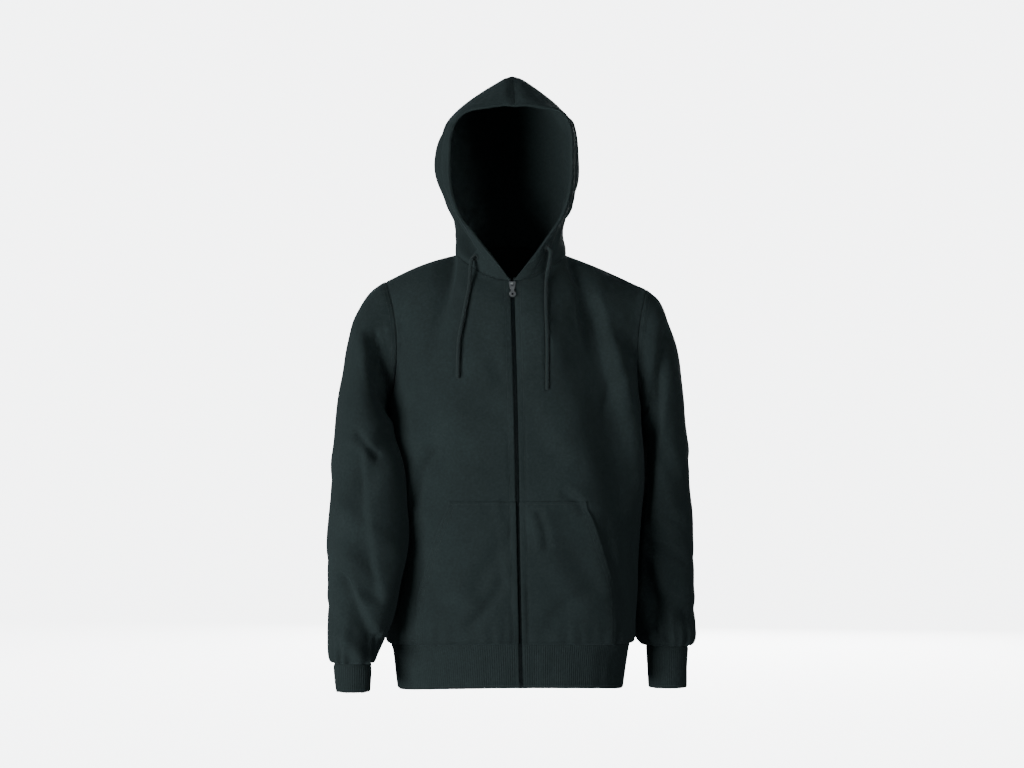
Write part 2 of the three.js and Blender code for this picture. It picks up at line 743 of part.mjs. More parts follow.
// Moves a grid along its walls' directions, out of the cloth when positive
const moved = (grid, distance) =>
  grid.map((row) => row.map((point) => point.clone().addScaledVector(wayOut(point), distance)));

for (const [name, { grid, flip, closed, thickness, look }] of Object.entries(cloth)) {
  const gap = name.startsWith("hood") ? HOOD_SEAM_GAP : SEAM_GAP / 2;
  const outer = standBack(grid, closed, gap);
  const inner = standBack(moved(grid, -thickness), closed, gap);
  addMesh(name, wallGeometry(outer, inner, flip, closed), look);
}

// Pockets: the front's own points inside the pocket's edge, moved out
const pocketRows = TRUNK_HEIGHTS.indexOf(POCKET_TOP_Z) + 1;
for (const [sideName, side] of Object.entries(SIDES)) {
  const patch = cloth[`front_${sideName}`].grid
    .slice(0, pocketRows)
    .map((row) => row.slice(0, FRONT_NECK_COLUMNS + 1));
  const inner = standBack(moved(patch, SEAM_GAP), false, SEAM_GAP);
  const outer = standBack(moved(patch, SEAM_GAP + POCKET_CLOTH), false, SEAM_GAP);
  addMesh(`pocket_${sideName}`, wallGeometry(outer, inner, side < 0, false), "fleece");
}

// Zip: both edges of the opening from the hem to the neckline, and the points beside them
const lastWaistbandColumn = cloth.waistband.grid[0].length - 1;
const waistbandBelow = cloth.waistband.grid.slice(0, -1);
const columnOf = (sideName, step) => [
  ...waistbandBelow.map((row) => row[sideName === "left" ? step : lastWaistbandColumn - step]),
  ...cloth[`front_${sideName}`].grid.map((row) => row[step]),
];
const edges = { left: columnOf("left", 0), right: columnOf("right", 0) };
const zipLine = edges.left.map((point, i) => mixPoints(point, edges.right[i], 0.5));
const zipOut = edges.left.map((point, i) => {
  const out = wayOut(point).add(wayOut(edges.right[i]));
  out.x = 0;
  return out.normalize();
});

// Tapes: a strip behind each front, bent once at the cloth's edge
const tapeDepth = -(RIB + SEAM_GAP);
for (const [sideName, side] of Object.entries(SIDES)) {
  const beside = columnOf(sideName, 1);
  const face = (depth) =>
    edges[sideName].map((edge, i) => {
      const away = beside[i].clone().sub(edge);
      const at = (distance) => {
        const t = distance / away.length();
        const within = Math.max(t, 0);
        return edge.clone()
          .addScaledVector(away, t)
          .addScaledVector(wayOut(edge), depth * (1 - within))
          .addScaledVector(wayOut(beside[i]), depth * within);
      };
      return [at(TAPE.middleGap - ZIP_GAP), at(0), at(TAPE.width - ZIP_GAP)];
    });
  const geometry = wallGeometry(face(tapeDepth), face(tapeDepth - TAPE.thickness), side < 0, false);
  addMesh(`zip_tape_${sideName}`, geometry, "tape");
}

// Slider frame: across, into the cloth and up, on the zip line just under the neck
const zipTop = zipLine.at(-1);
const zipUp = zipTop.clone().sub(zipLine.at(-2)).normalize();
zipUp.x = 0;
zipUp.normalize();
const across = vec(1, 0, 0);
const inwards = zipUp.clone().cross(across);
const sliderPlace = zipTop.clone().addScaledVector(zipUp, -SLIDER.belowNeck);
const sliderFrame = new THREE.Matrix4().makeBasis(across, inwards, zipUp).setPosition(sliderPlace);

// A strip down the zip line between two depths
function zipStrip(line, outs, half, front, back) {
  const face = (depth) =>
    line.map((point, i) => {
      const middle = point.clone().addScaledVector(outs[i], depth);
      return [middle.clone().add(vec(-half, 0, 0)), middle.clone().add(vec(half, 0, 0))];
    });
  return wallGeometry(face(front), face(back), false, false);
}

const chainLine = zipLine.slice(0, -1);
const chainOut = zipOut.slice(0, -1);
const boxTop = mixPoints(zipLine[0], zipLine[1], ZIP_BOX.height / zipLine[0].distanceTo(zipLine[1]));
const chainStart = boxTop.clone().addScaledVector(vec(0, 0, 1), SEAM_GAP);
const sliderFoot = sliderPlace.clone()
  .addScaledVector(zipUp, -(SLIDER.height / 2 + SEAM_GAP + ZIP_SEAT));
addMesh(
  "zip_chain",
  zipStrip(
    [chainStart, ...chainLine.slice(1), sliderFoot],
    [chainOut[0], ...chainOut.slice(1), inwards.clone().negate()],
    CHAIN.half, CHAIN.front, CHAIN.back
  ),
  "steel"
);
addMesh(
  "zip_box",
  zipStrip([zipLine[0], boxTop], [zipOut[0], zipOut[0]], ZIP_BOX.half, ZIP_BOX.front, CHAIN.back),
  "steel"
);

// Solids for cutting and joining
function toSolid(geometry) {
  const bare = geometry.clone();
  for (const name of Object.keys(bare.attributes)) {
    if (name !== "position") bare.deleteAttribute(name);
  }
  const merged = BufferGeometryUtils.mergeVertices(bare, 1e-4);
  return new wasm.Manifold(
    new wasm.Mesh({
      numProp: 3,
      vertProperties: new Float32Array(merged.attributes.position.array),
      triVerts: new Uint32Array(merged.index.array),
    })
  );
}

function fromSolid(solid) {
  const { vertProperties, triVerts } = solid.getMesh();
  const geometry = new THREE.BufferGeometry();
  geometry.setAttribute("position", new THREE.Float32BufferAttribute(vertProperties, 3));
  geometry.setIndex(Array.from(triVerts));
  return geometry;
}

// An outline in the plane of the zip, given thickness from its front face inwards
function plate(shape, thickness, frontY) {
  const geometry = new THREE.ExtrudeGeometry(shape, {
    depth: thickness, bevelEnabled: false, curveSegments: 8,
  });
  return geometry.rotateX(Math.PI / 2).translate(0, frontY + thickness, 0);
}

// Slider: a plate over the cloth's edges, a neck down between them, and a bridge for the pull
function sliderOutline() {
  const { top, bottom, height, corner } = SLIDER;
  const shape = new THREE.Shape();
  shape.moveTo(-bottom / 2 + corner, -height / 2);
  shape.lineTo(bottom / 2 - corner, -height / 2);
  shape.quadraticCurveTo(bottom / 2, -height / 2, bottom / 2, -height / 2 + corner);
  shape.lineTo(top / 2, height / 2 - corner);
  shape.quadraticCurveTo(top / 2, height / 2, top / 2 - corner, height / 2);
  shape.lineTo(-top / 2 + corner, height / 2);
  shape.quadraticCurveTo(-top / 2, height / 2, -top / 2, height / 2 - corner);
  shape.lineTo(-bottom / 2, -height / 2 + corner);
  shape.quadraticCurveTo(-bottom / 2, -height / 2, -bottom / 2 + corner, -height / 2);
  return shape;
}

function bridgeGeometry(plateFront) {
  const { bridgeInner, bridgeOuter, bridgeWidth, pivotHeight, pivotZ } = SLIDER;
  const foot = -SLIDER.thickness / 2;
  const shape = new THREE.Shape();
  shape.moveTo(-bridgeOuter, foot);
  shape.lineTo(-bridgeOuter, pivotHeight);
  shape.absarc(0, pivotHeight, bridgeOuter, Math.PI, 0, true);
  shape.lineTo(bridgeOuter, foot);
  shape.lineTo(bridgeInner, foot);
  shape.lineTo(bridgeInner, pivotHeight);
  shape.absarc(0, pivotHeight, bridgeInner, 0, Math.PI, false);
  shape.lineTo(-bridgeInner, foot);
  const geometry = new THREE.ExtrudeGeometry(shape, {
    depth: bridgeWidth, bevelEnabled: false, curveSegments: 10,
  });
  const turn = new THREE.Matrix4().makeBasis(vec(0, 0, 1), vec(0, -1, 0), vec(1, 0, 0));
  return geometry
    .translate(0, 0, -bridgeWidth / 2)
    .applyMatrix4(turn)
    .translate(0, plateFront, pivotZ);
}

const plateFront = -(SLIDER.lift + SLIDER.thickness);
const neckTop = SLIDER.height / 2 - SLIDER.neckInset;
const neckBlock = new THREE.BoxGeometry(
  2 * SLIDER.neckHalf, SLIDER.neckDepth + SLIDER.lift + SLIDER.thickness / 2, 2 * neckTop
).translate(0, (SLIDER.neckDepth - SLIDER.lift - SLIDER.thickness / 2) / 2, 0);
const slider = toSolid(plate(sliderOutline(), SLIDER.thickness, plateFront))
  .add(toSolid(neckBlock))
  .add(toSolid(bridgeGeometry(plateFront)));
addMesh("zip_slider", fromSolid(slider).applyMatrix4(sliderFrame), "steel");

// Pull tab: a bar under the bridge, an eye round it, a stem and a round end with a hole
function pullOutline() {
  const { bar, half, shoulder, chamfer, stemHalf, endAt, endRadius } = PULL;
  const { eyeHalf, eyeLength, holeRadius } = PULL;
  const meet = Math.sqrt(endRadius ** 2 - stemHalf ** 2);
  const opening = Math.atan2(meet, stemHalf);
  const shape = new THREE.Shape();
  shape.moveTo(-half, bar);
  shape.lineTo(-half, -shoulder + chamfer);
  shape.lineTo(-stemHalf, -shoulder);
  shape.lineTo(-stemHalf, -endAt + meet);
  shape.absarc(0, -endAt, endRadius, Math.PI - opening, 2 * Math.PI + opening, false);
  shape.lineTo(stemHalf, -shoulder);
  shape.lineTo(half, -shoulder + chamfer);
  shape.lineTo(half, bar);
  const eye = new THREE.Path();
  eye.moveTo(-eyeHalf, -bar);
  eye.lineTo(eyeHalf, -bar);
  eye.lineTo(eyeHalf, -eyeLength);
  eye.lineTo(-eyeHalf, -eyeLength);
  eye.lineTo(-eyeHalf, -bar);
  const hole = new THREE.Path();
  hole.absarc(0, -endAt, holeRadius, 0, 2 * Math.PI, false);
  shape.holes.push(eye, hole);
  return shape;
}

const pivot = vec(0, plateFront - SLIDER.pivotHeight, SLIDER.pivotZ);
const barGeometry = new THREE.CylinderGeometry(PULL.bar, PULL.bar, 2 * PULL.half, 16)
  .rotateZ(Math.PI / 2);
const pullPlate = plate(pullOutline(), PULL.thickness, -PULL.thickness / 2);
const barCut = new THREE.BoxGeometry(3 * PULL.half, 2 * PULL.thickness, PULL.bar)
  .translate(0, 0, PULL.bar / 2);
const pull = toSolid(pullPlate).subtract(toSolid(barCut)).add(toSolid(barGeometry));
addMesh(
  "pull_tab",
  fromSolid(pull).translate(pivot.x, pivot.y, pivot.z).applyMatrix4(sliderFrame),
  "steel"
);

// Eyelets and the drawcord's free ends
function eyeletGeometry() {
  const { outer, inner, thickness } = EYELET;
  const edge = thickness / 3;
  const profile = [
    [inner, 0],
    [outer, 0],
    [outer, edge],
    [outer - edge, thickness],
    [inner + edge, thickness],
    [inner, edge],
    [inner, 0],
  ].map(([r, y]) => new THREE.Vector2(r, y));
  return new THREE.LatheGeometry(profile, 20).rotateX(Math.PI / 2);
}

for (const [sideName, side] of Object.entries(SIDES)) {
  const [height, along] = EYELET_PLACES[sideName];
  const place = hoodPoint(side, height, along);
  const round = hoodPoint(side, height, along + EYELET.nudge).sub(place);
  const up = hoodPoint(side, height + EYELET.nudge, along).sub(place);
  const out = round.cross(up).normalize().multiplyScalar(side);
  const ring = addMesh(`eyelet_${sideName}`, eyeletGeometry(), "cord");
  ring.position.copy(place).addScaledVector(out, EYELET.lift);
  ring.quaternion.setFromUnitVectors(vec(0, 0, 1), out);

  const route = new THREE.CatmullRomCurve3(
    CORD_ROUTES[sideName].map(([x, y, z]) => vec(x, y, z)), false, "centripetal"
  );
  const section = new THREE.Shape();
  section.absarc(0, 0, CORD.radius, 0, 2 * Math.PI, false);
  const tube = new THREE.ExtrudeGeometry(section, {
    steps: Math.round(route.getLength() / CORD.step),
    extrudePath: route,
    curveSegments: CORD.sides / 2,
  });
  addMesh(`drawcord_${sideName}`, tube, "cord");
}

export default group;
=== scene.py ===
# A hooded sweatshirt with a full front zip, hood up, filled out as when it is worn.
import math
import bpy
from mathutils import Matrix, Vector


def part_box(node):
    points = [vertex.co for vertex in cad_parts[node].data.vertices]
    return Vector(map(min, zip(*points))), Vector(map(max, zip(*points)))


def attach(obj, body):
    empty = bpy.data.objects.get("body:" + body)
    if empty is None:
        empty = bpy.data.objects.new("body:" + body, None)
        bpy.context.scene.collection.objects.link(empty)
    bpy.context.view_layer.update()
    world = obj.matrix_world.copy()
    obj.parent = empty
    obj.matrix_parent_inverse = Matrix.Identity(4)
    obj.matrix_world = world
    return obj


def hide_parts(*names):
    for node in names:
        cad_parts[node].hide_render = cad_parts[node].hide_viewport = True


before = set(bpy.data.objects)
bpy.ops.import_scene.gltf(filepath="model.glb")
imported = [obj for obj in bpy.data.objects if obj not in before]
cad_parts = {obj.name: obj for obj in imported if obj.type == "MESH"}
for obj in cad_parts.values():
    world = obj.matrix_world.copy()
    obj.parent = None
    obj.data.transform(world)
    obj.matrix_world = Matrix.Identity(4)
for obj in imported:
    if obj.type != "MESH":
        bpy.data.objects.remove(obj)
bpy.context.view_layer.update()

from types import SimpleNamespace

import bmesh
import bpy
import numpy as np
from mathutils import Matrix, Vector

# Tables and routes are in millimetres; finished meshes are in metres
MM = 0.001

# Camera, as the photograph sees it: level with the chest, a little to the wearer's right
PICTURE_SCALE = 1.65
PICTURE_SIZE = (1024, 768)
PICTURE_ORIGIN = (511.0, 257.0)
CAMERA_DISTANCE = 4500.0
CAMERA_AZIMUTH = -3.0
SENSOR_WIDTH = 36.0


def make_camera():
    data = bpy.data.cameras.new("camera")
    data.sensor_width = SENSOR_WIDTH
    data.lens = SENSOR_WIDTH * CAMERA_DISTANCE / (PICTURE_SCALE * PICTURE_SIZE[0])
    data.clip_end = 50
    camera = bpy.data.objects.new("camera", data)
    bpy.context.scene.collection.objects.link(camera)
    turn = math.radians(CAMERA_AZIMUTH)
    right = (PICTURE_SIZE[0] / 2 - PICTURE_ORIGIN[0]) * PICTURE_SCALE
    height = (PICTURE_ORIGIN[1] - PICTURE_SIZE[1] / 2) * PICTURE_SCALE
    target = Vector((right * math.cos(turn), right * math.sin(turn), height))
    back = Vector((math.sin(turn), -math.cos(turn), 0))
    camera.location = (target + back * CAMERA_DISTANCE) * MM
    camera.rotation_euler = (math.pi / 2, 0, turn)
    bpy.context.scene.camera = camera


make_camera()

# Driving sizes
CLOTH = 2.2
RIB = 3.0
POCKET_CLOTH = 2.0
SEAM_GAP = 0.3
CHEST_Z = -255
SEAM_Z = -636
POCKET_TOP_Z = -398
POCKET_SLANT_Z = -550
ZIP_GAP = 3.2
SQUARENESS = 2.5
FRONT_NECK_COLUMNS = 6
BACK_NECK_COLUMNS = 5
SHOULDER_COLUMNS = 6
ARMHOLE_ROWS = 10
SLEEVE_RINGS = 18
HOOD_ROWS = 16
CHEST_SLOPE_STEP = 20
ARMPIT_Z = -262
TRUNK_HEIGHTS = [
    SEAM_Z, -627, -612, -585, POCKET_SLANT_Z, -512, -474, -436, POCKET_TOP_Z, -362, -326, -290,
]
SIDES = {"left": 1, "right": -1}


def table(columns, rows):
    """Column names and a row of numbers for each section."""
    return {"columns": columns.split(), "rows": rows}


def named(columns, row):
    return SimpleNamespace(**dict(zip(columns, row)))


TRUNK = table("z centre half front back lift", [
    [SEAM_Z, -1, 197, 122, 108, 10],
    [-626, -1, 203, 127, 113, 9],
    [-606, -1, 206, 130, 115, 7],
    [-566, 0, 207, 130, 114, 5],
    [-467, 3, 210, 129, 112, 2],
    [-401, 5, 213, 130, 112, 0],
    [-335, 6, 215, 131, 116, 0],
    [CHEST_Z, 5.5, 208.5, 130, 122, 0],
])
WAISTBAND = table("z centre half front back lift", [
    [-709, -1, 185, 119, 103, 10],
    [-672, -1, 189, 120, 104, 10],
    [-648, -1, 193, 120.5, 106, 10],
    [SEAM_Z, -1, 197, 122, 108, 10],
])
WAISTBAND_HEIGHTS = [-709, -690, -666, -646, SEAM_Z]
ZIP_LINE = table("z x", [[-709, 10], [-467, 5], [CHEST_Z, 1], [-46, -3]])
POCKET_EDGE = [[SEAM_Z, 158], [POCKET_SLANT_Z, 158], [POCKET_TOP_Z, 108]]

HOOD = table("row rimX rimY rimZ half sideY sideZ backY backZ rimShift backShift", [
    [0, ZIP_GAP, -92, -42, 92, 8, 4, 84, 22, -3, 0],
    [1, 29, -97, -11, 88, 8, 30, 93, 55, -2, -2],
    [2, 55, -92, 21, 91, 10, 57, 105, 90, -3, -3],
    [3, 85, -80, 62, 103, 12, 90, 119, 130, -5, -5],
    [4, 99, -76, 110, 116, 14, 128, 130, 170, -5, -5],
    [5, 101, -80, 160, 118, 14, 164, 131, 207, -5, -5],
    [6, 97, -88, 207, 111, 10, 201, 121, 240, -4, -4],
    [7, 75, -97, 237, 84, 4, 242, 104, 267, -2, -2],
    [8, 40, -103, 250, 45, 0, 274, 86, 283, 0, 0],
    [9, 0, -105, 254, 0, -6, 301, 66, 293, 1, 1],
])
RIDGE_TURN = 0.45

LEAN = {"front": 24, "back": 16, "shoulder": 82, "spread": 1.5, "towards_armhole": 2.2}
SHOULDER_BULGE = {"left": 2, "right": 5}

SLEEVE_COLUMNS = "ring outX outZ inX inZ midY front back hollow"
SLEEVES = {
    "left": table(SLEEVE_COLUMNS, [
        [0, 224, -53, 214, CHEST_Z, 0, 52, 54, 14],
        [0.5, 241, -68, 218, -260, 3, 58, 58, 9],
        [1, 255, -89, 221, -265, 8, 64, 64, 4],
        [2, 271, -132, 219, -276, 18, 71, 71, 0],
        [3, 282, -186, 219, -295, 28, 74, 74, 0],
        [4, 291, -250, 216, -322, 38, 74, 73, 0],
        [5, 298, -325, 210, -358, 47, 70, 69, 0],
        [6, 303, -395, 203, -408, 54, 66, 65, 0],
        [7, 307, -460, 197, -464, 58, 62, 62, 0],
        [8, 310, -525, 195, -525, 58, 58, 58, 0],
        [9, 312, -578, 197, -576, 55, 54, 54, 0],
        [10, 312, -612, 203, -609, 50, 50, 50, 0],
        [11, 309, -635, 213, -633, 47, 43, 43, 0],
        [12, 298, -646, 229, -644, 45, 32, 32, 0],
    ]),
    "right": table(SLEEVE_COLUMNS, [
        [0, 206, -41, 203, CHEST_Z, 0, 58, 50, 16],
        [0.5, 228, -58, 206.5, -260, -3, 63, 57, 10],
        [1, 247, -85, 210, -265, -8, 69, 64, 5],
        [2, 264, -130, 203, -274, -24, 75, 72, 0],
        [3, 277, -186, 194, -291, -42, 77, 74, 0],
        [4, 287, -250, 182, -318, -62, 75, 73, 0],
        [5, 293, -325, 173, -356, -78, 70, 70, 0],
        [6, 297, -395, 168, -408, -88, 66, 66, 0],
        [7, 300, -460, 171, -464, -94, 62, 62, 0],
        [8, 301, -525, 179, -525, -98, 58, 58, 0],
        [9, 301, -580, 192, -578, -101, 54, 54, 0],
        [10, 300, -616, 205, -613, -103, 49, 49, 0],
        [11, 297, -642, 218, -640, -104, 41, 41, 0],
        [12, 290, -658, 231, -656, -104, 30, 30, 0],
    ]),
}
CUFFS = {
    "left": [[-715, 296, 232, 40, 31], [-686, 297, 230, 43, 32], [-656, 299, 228, 45, 32.5]],
    "right": [[-703, 288, 232, -107, 29], [-687, 290, 231, -106, 30], [-667, 291, 230, -104, 30.5]],
}
SLEEVE_CLEARANCE = 3

# Drawcord ends and eyelets
CORD_RADIUS = 3.1
EYELET = {"outer": 6.2, "inner": 3.7, "thickness": 1.4, "lift": 0.3, "nudge": 0.02}
EYELET_PLACES = {"right": [0.66, 0.37], "left": [1.42, 0.19]}
CORD_ROUTES = {
    "right": [
        [-61.3, -72.3, -4.4],
        [-65, -75.1, -5.1],
        [-67.8, -77.5, -8.5],
        [-69.2, -79.3, -15],
        [-69.8, -81, -23],
        [-70.3, -83.3, -32],
        [-71.2, -87.3, -42],
        [-72.7, -92, -54],
        [-76.2, -99.4, -71],
        [-79.8, -105.5, -88],
        [-84.2, -112, -110],
        [-88, -116.4, -128],
        [-90.4, -119.9, -146],
        [-91.5, -123.6, -172],
        [-92, -126.2, -201],
    ],
    "left": [
        [53.5, -83, 11],
        [57.2, -85.6, 9.7],
        [59.2, -87.1, 6],
        [59.4, -87.5, 0],
        [58.4, -87, -8],
        [56.8, -85.8, -17],
        [55, -84.9, -26],
        [53.6, -85.2, -35],
        [52.8, -89.2, -44],
        [51.9, -96.4, -55],
        [51.2, -105.8, -72],
        [50.9, -112.8, -88],
        [51.6, -122.4, -123],
        [51.9, -127.4, -153],
        [51.5, -129.8, -173],
        [51.4, -131.5, -196],
        [51.3, -132.3, -219],
    ],
}


def vec(x, y, z):
    return np.array([x, y, z], float)


def mix(a, b, t):
    return a + (b - a) * t


def unit(v):
    return v / np.maximum(np.linalg.norm(v, axis=-1, keepdims=True), 1e-12)


def cubic(p1, slope1, p2, slope2, t):
    """A smooth curve between p1 and p2, even in t."""
    t2 = t * t
    t3 = t2 * t
    return (
        p1 * (2 * t3 - 3 * t2 + 1)
        + slope1 * (t3 - 2 * t2 + t)
        + p2 * (3 * t2 - 2 * t3)
        + slope2 * (t3 - t2)
    )


def row_at(source, key):
    """A table's values between its rows, on a smooth curve through all of them."""
    rows = source["rows"]
    last = len(rows) - 1
    k = 0
    while k < last - 1 and key > rows[k + 1][0]:
        k += 1
    span = rows[k + 1][0] - rows[k][0]

    def slope(at, column):
        low = rows[max(at - 1, 0)]
        high = rows[min(at + 1, last)]
        return (high[column] - low[column]) / (high[0] - low[0])

    values = {}
    for c, name in enumerate(source["columns"]):
        values[name] = cubic(
            rows[k][c],
            slope(k, c) * span,
            rows[k + 1][c],
            slope(k + 1, c) * span,
            (key - rows[k][0]) / span,
        )
    return SimpleNamespace(**values)


def section_point(section, side, angle):
    """A trunk section's point, from the side at 0 to the front at pi / 2 or the back at -pi / 2."""
    wide = max(math.cos(angle), 0) ** (2 / SQUARENESS)
    deep = abs(math.sin(angle)) ** (2 / SQUARENESS)
    if angle < 0:
        x = section.centre + side * section.half * wide
        return vec(x, section.back * deep, section.z)
    drift = row_at(ZIP_LINE, section.z).x - section.centre
    return vec(
        section.centre + side * section.half * wide + drift * (1 - wide * wide),
        -section.front * deep,
        section.z + section.lift * deep * deep,
    )


def column_angles(section, start, end, inner, inner_columns, outer_columns):
    """Angles at even steps of arc, in two runs of columns that meet at an inner distance."""
    samples = 120
    angles = np.linspace(start, end, samples + 1)
    line = np.array([section_point(section, 1, a) for a in angles])
    steps = np.linalg.norm(np.diff(line, axis=0), axis=1)
    travel = np.concatenate([[0], np.cumsum(steps)])
    count = inner_columns + outer_columns
    split = travel[-1] * inner_columns / count if inner is None else inner
    near = np.linspace(0, split, inner_columns + 1)
    far = np.linspace(split, travel[-1], outer_columns + 1)[1:]
    return np.interp(np.concatenate([near, far]), travel, angles)


def zip_angle(section):
    return math.acos((ZIP_GAP / section.half) ** (SQUARENESS / 2))


def pocket_distance(z):
    """The pocket's edge from the zip; above the pocket it leads up to the neck's corner."""
    chest = row_at(TRUNK, CHEST_Z)
    start = zip_angle(chest)
    quarter = column_angles(chest, start, 0, None, 1, 1)[1]
    reach = np.linalg.norm(section_point(chest, 1, quarter) - section_point(chest, 1, start))
    heights, distances = zip(*POCKET_EDGE, (CHEST_Z, reach))
    return float(np.interp(z, heights, distances))


def front_row(section, side):
    inner = pocket_distance(section.z) if section.z < CHEST_Z else None
    angles = column_angles(
        section, zip_angle(section), 0, inner, FRONT_NECK_COLUMNS, SHOULDER_COLUMNS
    )
    return [section_point(section, side, a) for a in angles]


def back_row(section, side):
    angles = column_angles(section, -math.pi / 2, 0, None, BACK_NECK_COLUMNS, SHOULDER_COLUMNS)
    return [section_point(section, side, a) for a in angles]


def hood_row_point(row, side, along):
    """A hood row's point: 0 at the rim, 1 at the side and 2 at the back seam."""
    if along <= 1:
        turn = math.acos(row.rimX / row.half) if row.half > 1 else RIDGE_TURN
        angle = turn * (1 - along)
        forward = math.sin(angle) / math.sin(turn)
        return vec(
            side * row.half * math.cos(angle) + mix(row.backShift, row.rimShift, forward**2),
            mix(row.sideY, row.rimY, forward),
            mix(row.sideZ, row.rimZ, forward**2),
        )
    angle = (along - 1) * math.pi / 2
    backward = math.sin(angle)
    return vec(
        side * row.half * math.cos(angle) + row.backShift,
        mix(row.sideY, row.backY, backward),
        mix(row.sideZ, row.backZ, backward**2),
    )


def hood_point(side, height, along):
    """A point of the hood, smooth from one table row to the next."""
    last = len(HOOD["rows"]) - 1
    k = min(max(math.floor(height), 0), last - 1)

    def at(index):
        values = HOOD["rows"][min(max(index, 0), last)]
        return hood_row_point(named(HOOD["columns"], values), side, along)

    before, start, end, after = at(k - 1), at(k), at(k + 1), at(k + 2)
    slope_start = (end - before) / 2 if k > 0 else end - start
    slope_end = (after - start) / 2 if k + 1 < last else end - start
    return cubic(start, slope_start, end, slope_end, height - k)


def ring_point(row, side, turn):
    """A sleeve's ring: from the inner line over the front to the outer line and back."""
    out = (1 - math.cos(turn)) / 2
    deep = math.sin(turn)
    return vec(
        side * (mix(row.inX, row.outX, out) - row.hollow * deep * deep),
        row.midY - (row.front if deep > 0 else row.back) * deep,
        mix(row.inZ, row.outZ, out),
    )


def clear_of_trunk(point, clearance):
    """Keeps a sleeve clear of the trunk, as an arm at rest lies against it."""
    if point[2] > ARMPIT_Z:
        return point
    section = row_at(TRUNK, max(point[2], SEAM_Z))
    depth = section.front if point[1] < 0 else section.back
    reach = (abs(point[0] - section.centre) / (section.half + clearance)) ** SQUARENESS
    reach += (abs(point[1]) / (depth + clearance)) ** SQUARENESS
    if reach >= 1:
        return point
    grow = reach ** (-1 / SQUARENESS)
    return vec(section.centre + (point[0] - section.centre) * grow, point[1] * grow, point[2])


def top_line(side_name, from_front):
    """The neckline and the shoulder seam, from the middle of the front or back to the tip."""
    side = SIDES[side_name]
    columns = FRONT_NECK_COLUMNS if from_front else BACK_NECK_COLUMNS
    line = []
    for j in range(columns + 1):
        line.append(hood_point(side, 0, j / columns if from_front else 2 - j / columns))
    neck = line[-1]
    tip = ring_point(row_at(SLEEVES[side_name], 0), side, math.pi)
    for j in range(1, SHOULDER_COLUMNS + 1):
        t = j / SHOULDER_COLUMNS
        point = mix(neck, tip, t)
        if j < SHOULDER_COLUMNS:
            point[2] += SHOULDER_BULGE[side_name] * math.sin(math.pi * t)
        line.append(point)
    return line


def armhole_line(side_name, direction):
    row = row_at(SLEEVES[side_name], 0)
    turns = [direction * math.pi * i / ARMHOLE_ROWS for i in range(ARMHOLE_ROWS + 1)]
    return [ring_point(row, SIDES[side_name], turn) for turn in turns]


def upper_rows(chest_row, lower_row, top, armhole, lean_at_centre, lean_y):
    """The rows from the chest up: each column leaves upright and leans over to the seam."""
    last = len(top) - 1

    def column(j, t):
        start, end = chest_row[j], top[j]
        length = np.linalg.norm(end - start)
        over = min(1, LEAN["spread"] * j / last)
        lean = math.radians(mix(lean_at_centre, LEAN["shoulder"], over))
        arrive = vec(0, lean_y * math.sin(lean), math.cos(lean)) * length
        leave = unit(start - lower_row[j]) * length
        return cubic(start, leave, end, arrive, t)

    rows = []
    for i in range(1, ARMHOLE_ROWS):
        t = i / ARMHOLE_ROWS
        pull = armhole[i] - column(last, t)
        rows.append([
            column(j, t) + pull * (j / last) ** LEAN["towards_armhole"] for j in range(last + 1)
        ])
    return [*rows, top]


def trunk_grids(side_name):
    """The points that a front and a half back are drawn through, from the waist seam up."""
    side = SIDES[side_name]
    chest = row_at(TRUNK, CHEST_Z)
    below = row_at(TRUNK, CHEST_Z - CHEST_SLOPE_STEP)
    grids = []
    for from_front, row_of, direction in ((True, front_row, 1), (False, back_row, -1)):
        lower = [row_of(row_at(TRUNK, z), side) for z in TRUNK_HEIGHTS]
        chest_row = row_of(chest, side)
        armhole = armhole_line(side_name, direction)
        chest_row[-1] = armhole[0]
        upper = upper_rows(
            chest_row,
            row_of(below, side),
            top_line(side_name, from_front),
            armhole,
            LEAN["front" if from_front else "back"],
            direction,
        )
        grids.append(np.array([*lower, chest_row, *upper]))
    return grids


def sleeve_grid(side_name):
    side = SIDES[side_name]
    last = SLEEVES[side_name]["rows"][-1][0]
    turns = [math.pi * m / ARMHOLE_ROWS for m in range(2 * ARMHOLE_ROWS)]
    rings = []
    for k in range(SLEEVE_RINGS + 1):
        row = row_at(SLEEVES[side_name], last * k / SLEEVE_RINGS)
        ring = [ring_point(row, side, turn) for turn in turns]
        if k > 0:
            ring = [clear_of_trunk(point, min(SLEEVE_CLEARANCE, k)) for point in ring]
        rings.append(ring)
    return np.array(rings)


def cuff_grid(side_name, sleeve):
    turns = [math.pi * m / ARMHOLE_ROWS for m in range(2 * ARMHOLE_ROWS)]
    rings = [sleeve[-1]]
    for z, out, inner, mid, deep in reversed(CUFFS[side_name]):
        row = SimpleNamespace(
            outX=out, outZ=z, inX=inner, inZ=z, midY=mid, front=deep, back=deep, hollow=0
        )
        rings.append([ring_point(row, SIDES[side_name], turn) for turn in turns])
    return np.array(rings)


def waistband_grid(fronts, back):
    """One strip from the zip round the back to the zip again."""
    rows = []
    for z in WAISTBAND_HEIGHTS[:-1]:
        section = row_at(WAISTBAND, z)
        rows.append([
            *front_row(section, 1),
            *back_row(section, 1)[-2::-1],
            *back_row(section, -1)[1:-1],
            *front_row(section, -1)[::-1],
        ])
    rows.append([*fronts["left"][0], *back[0][-2:0:-1], *fronts["right"][0][::-1]])
    return np.array(rows)


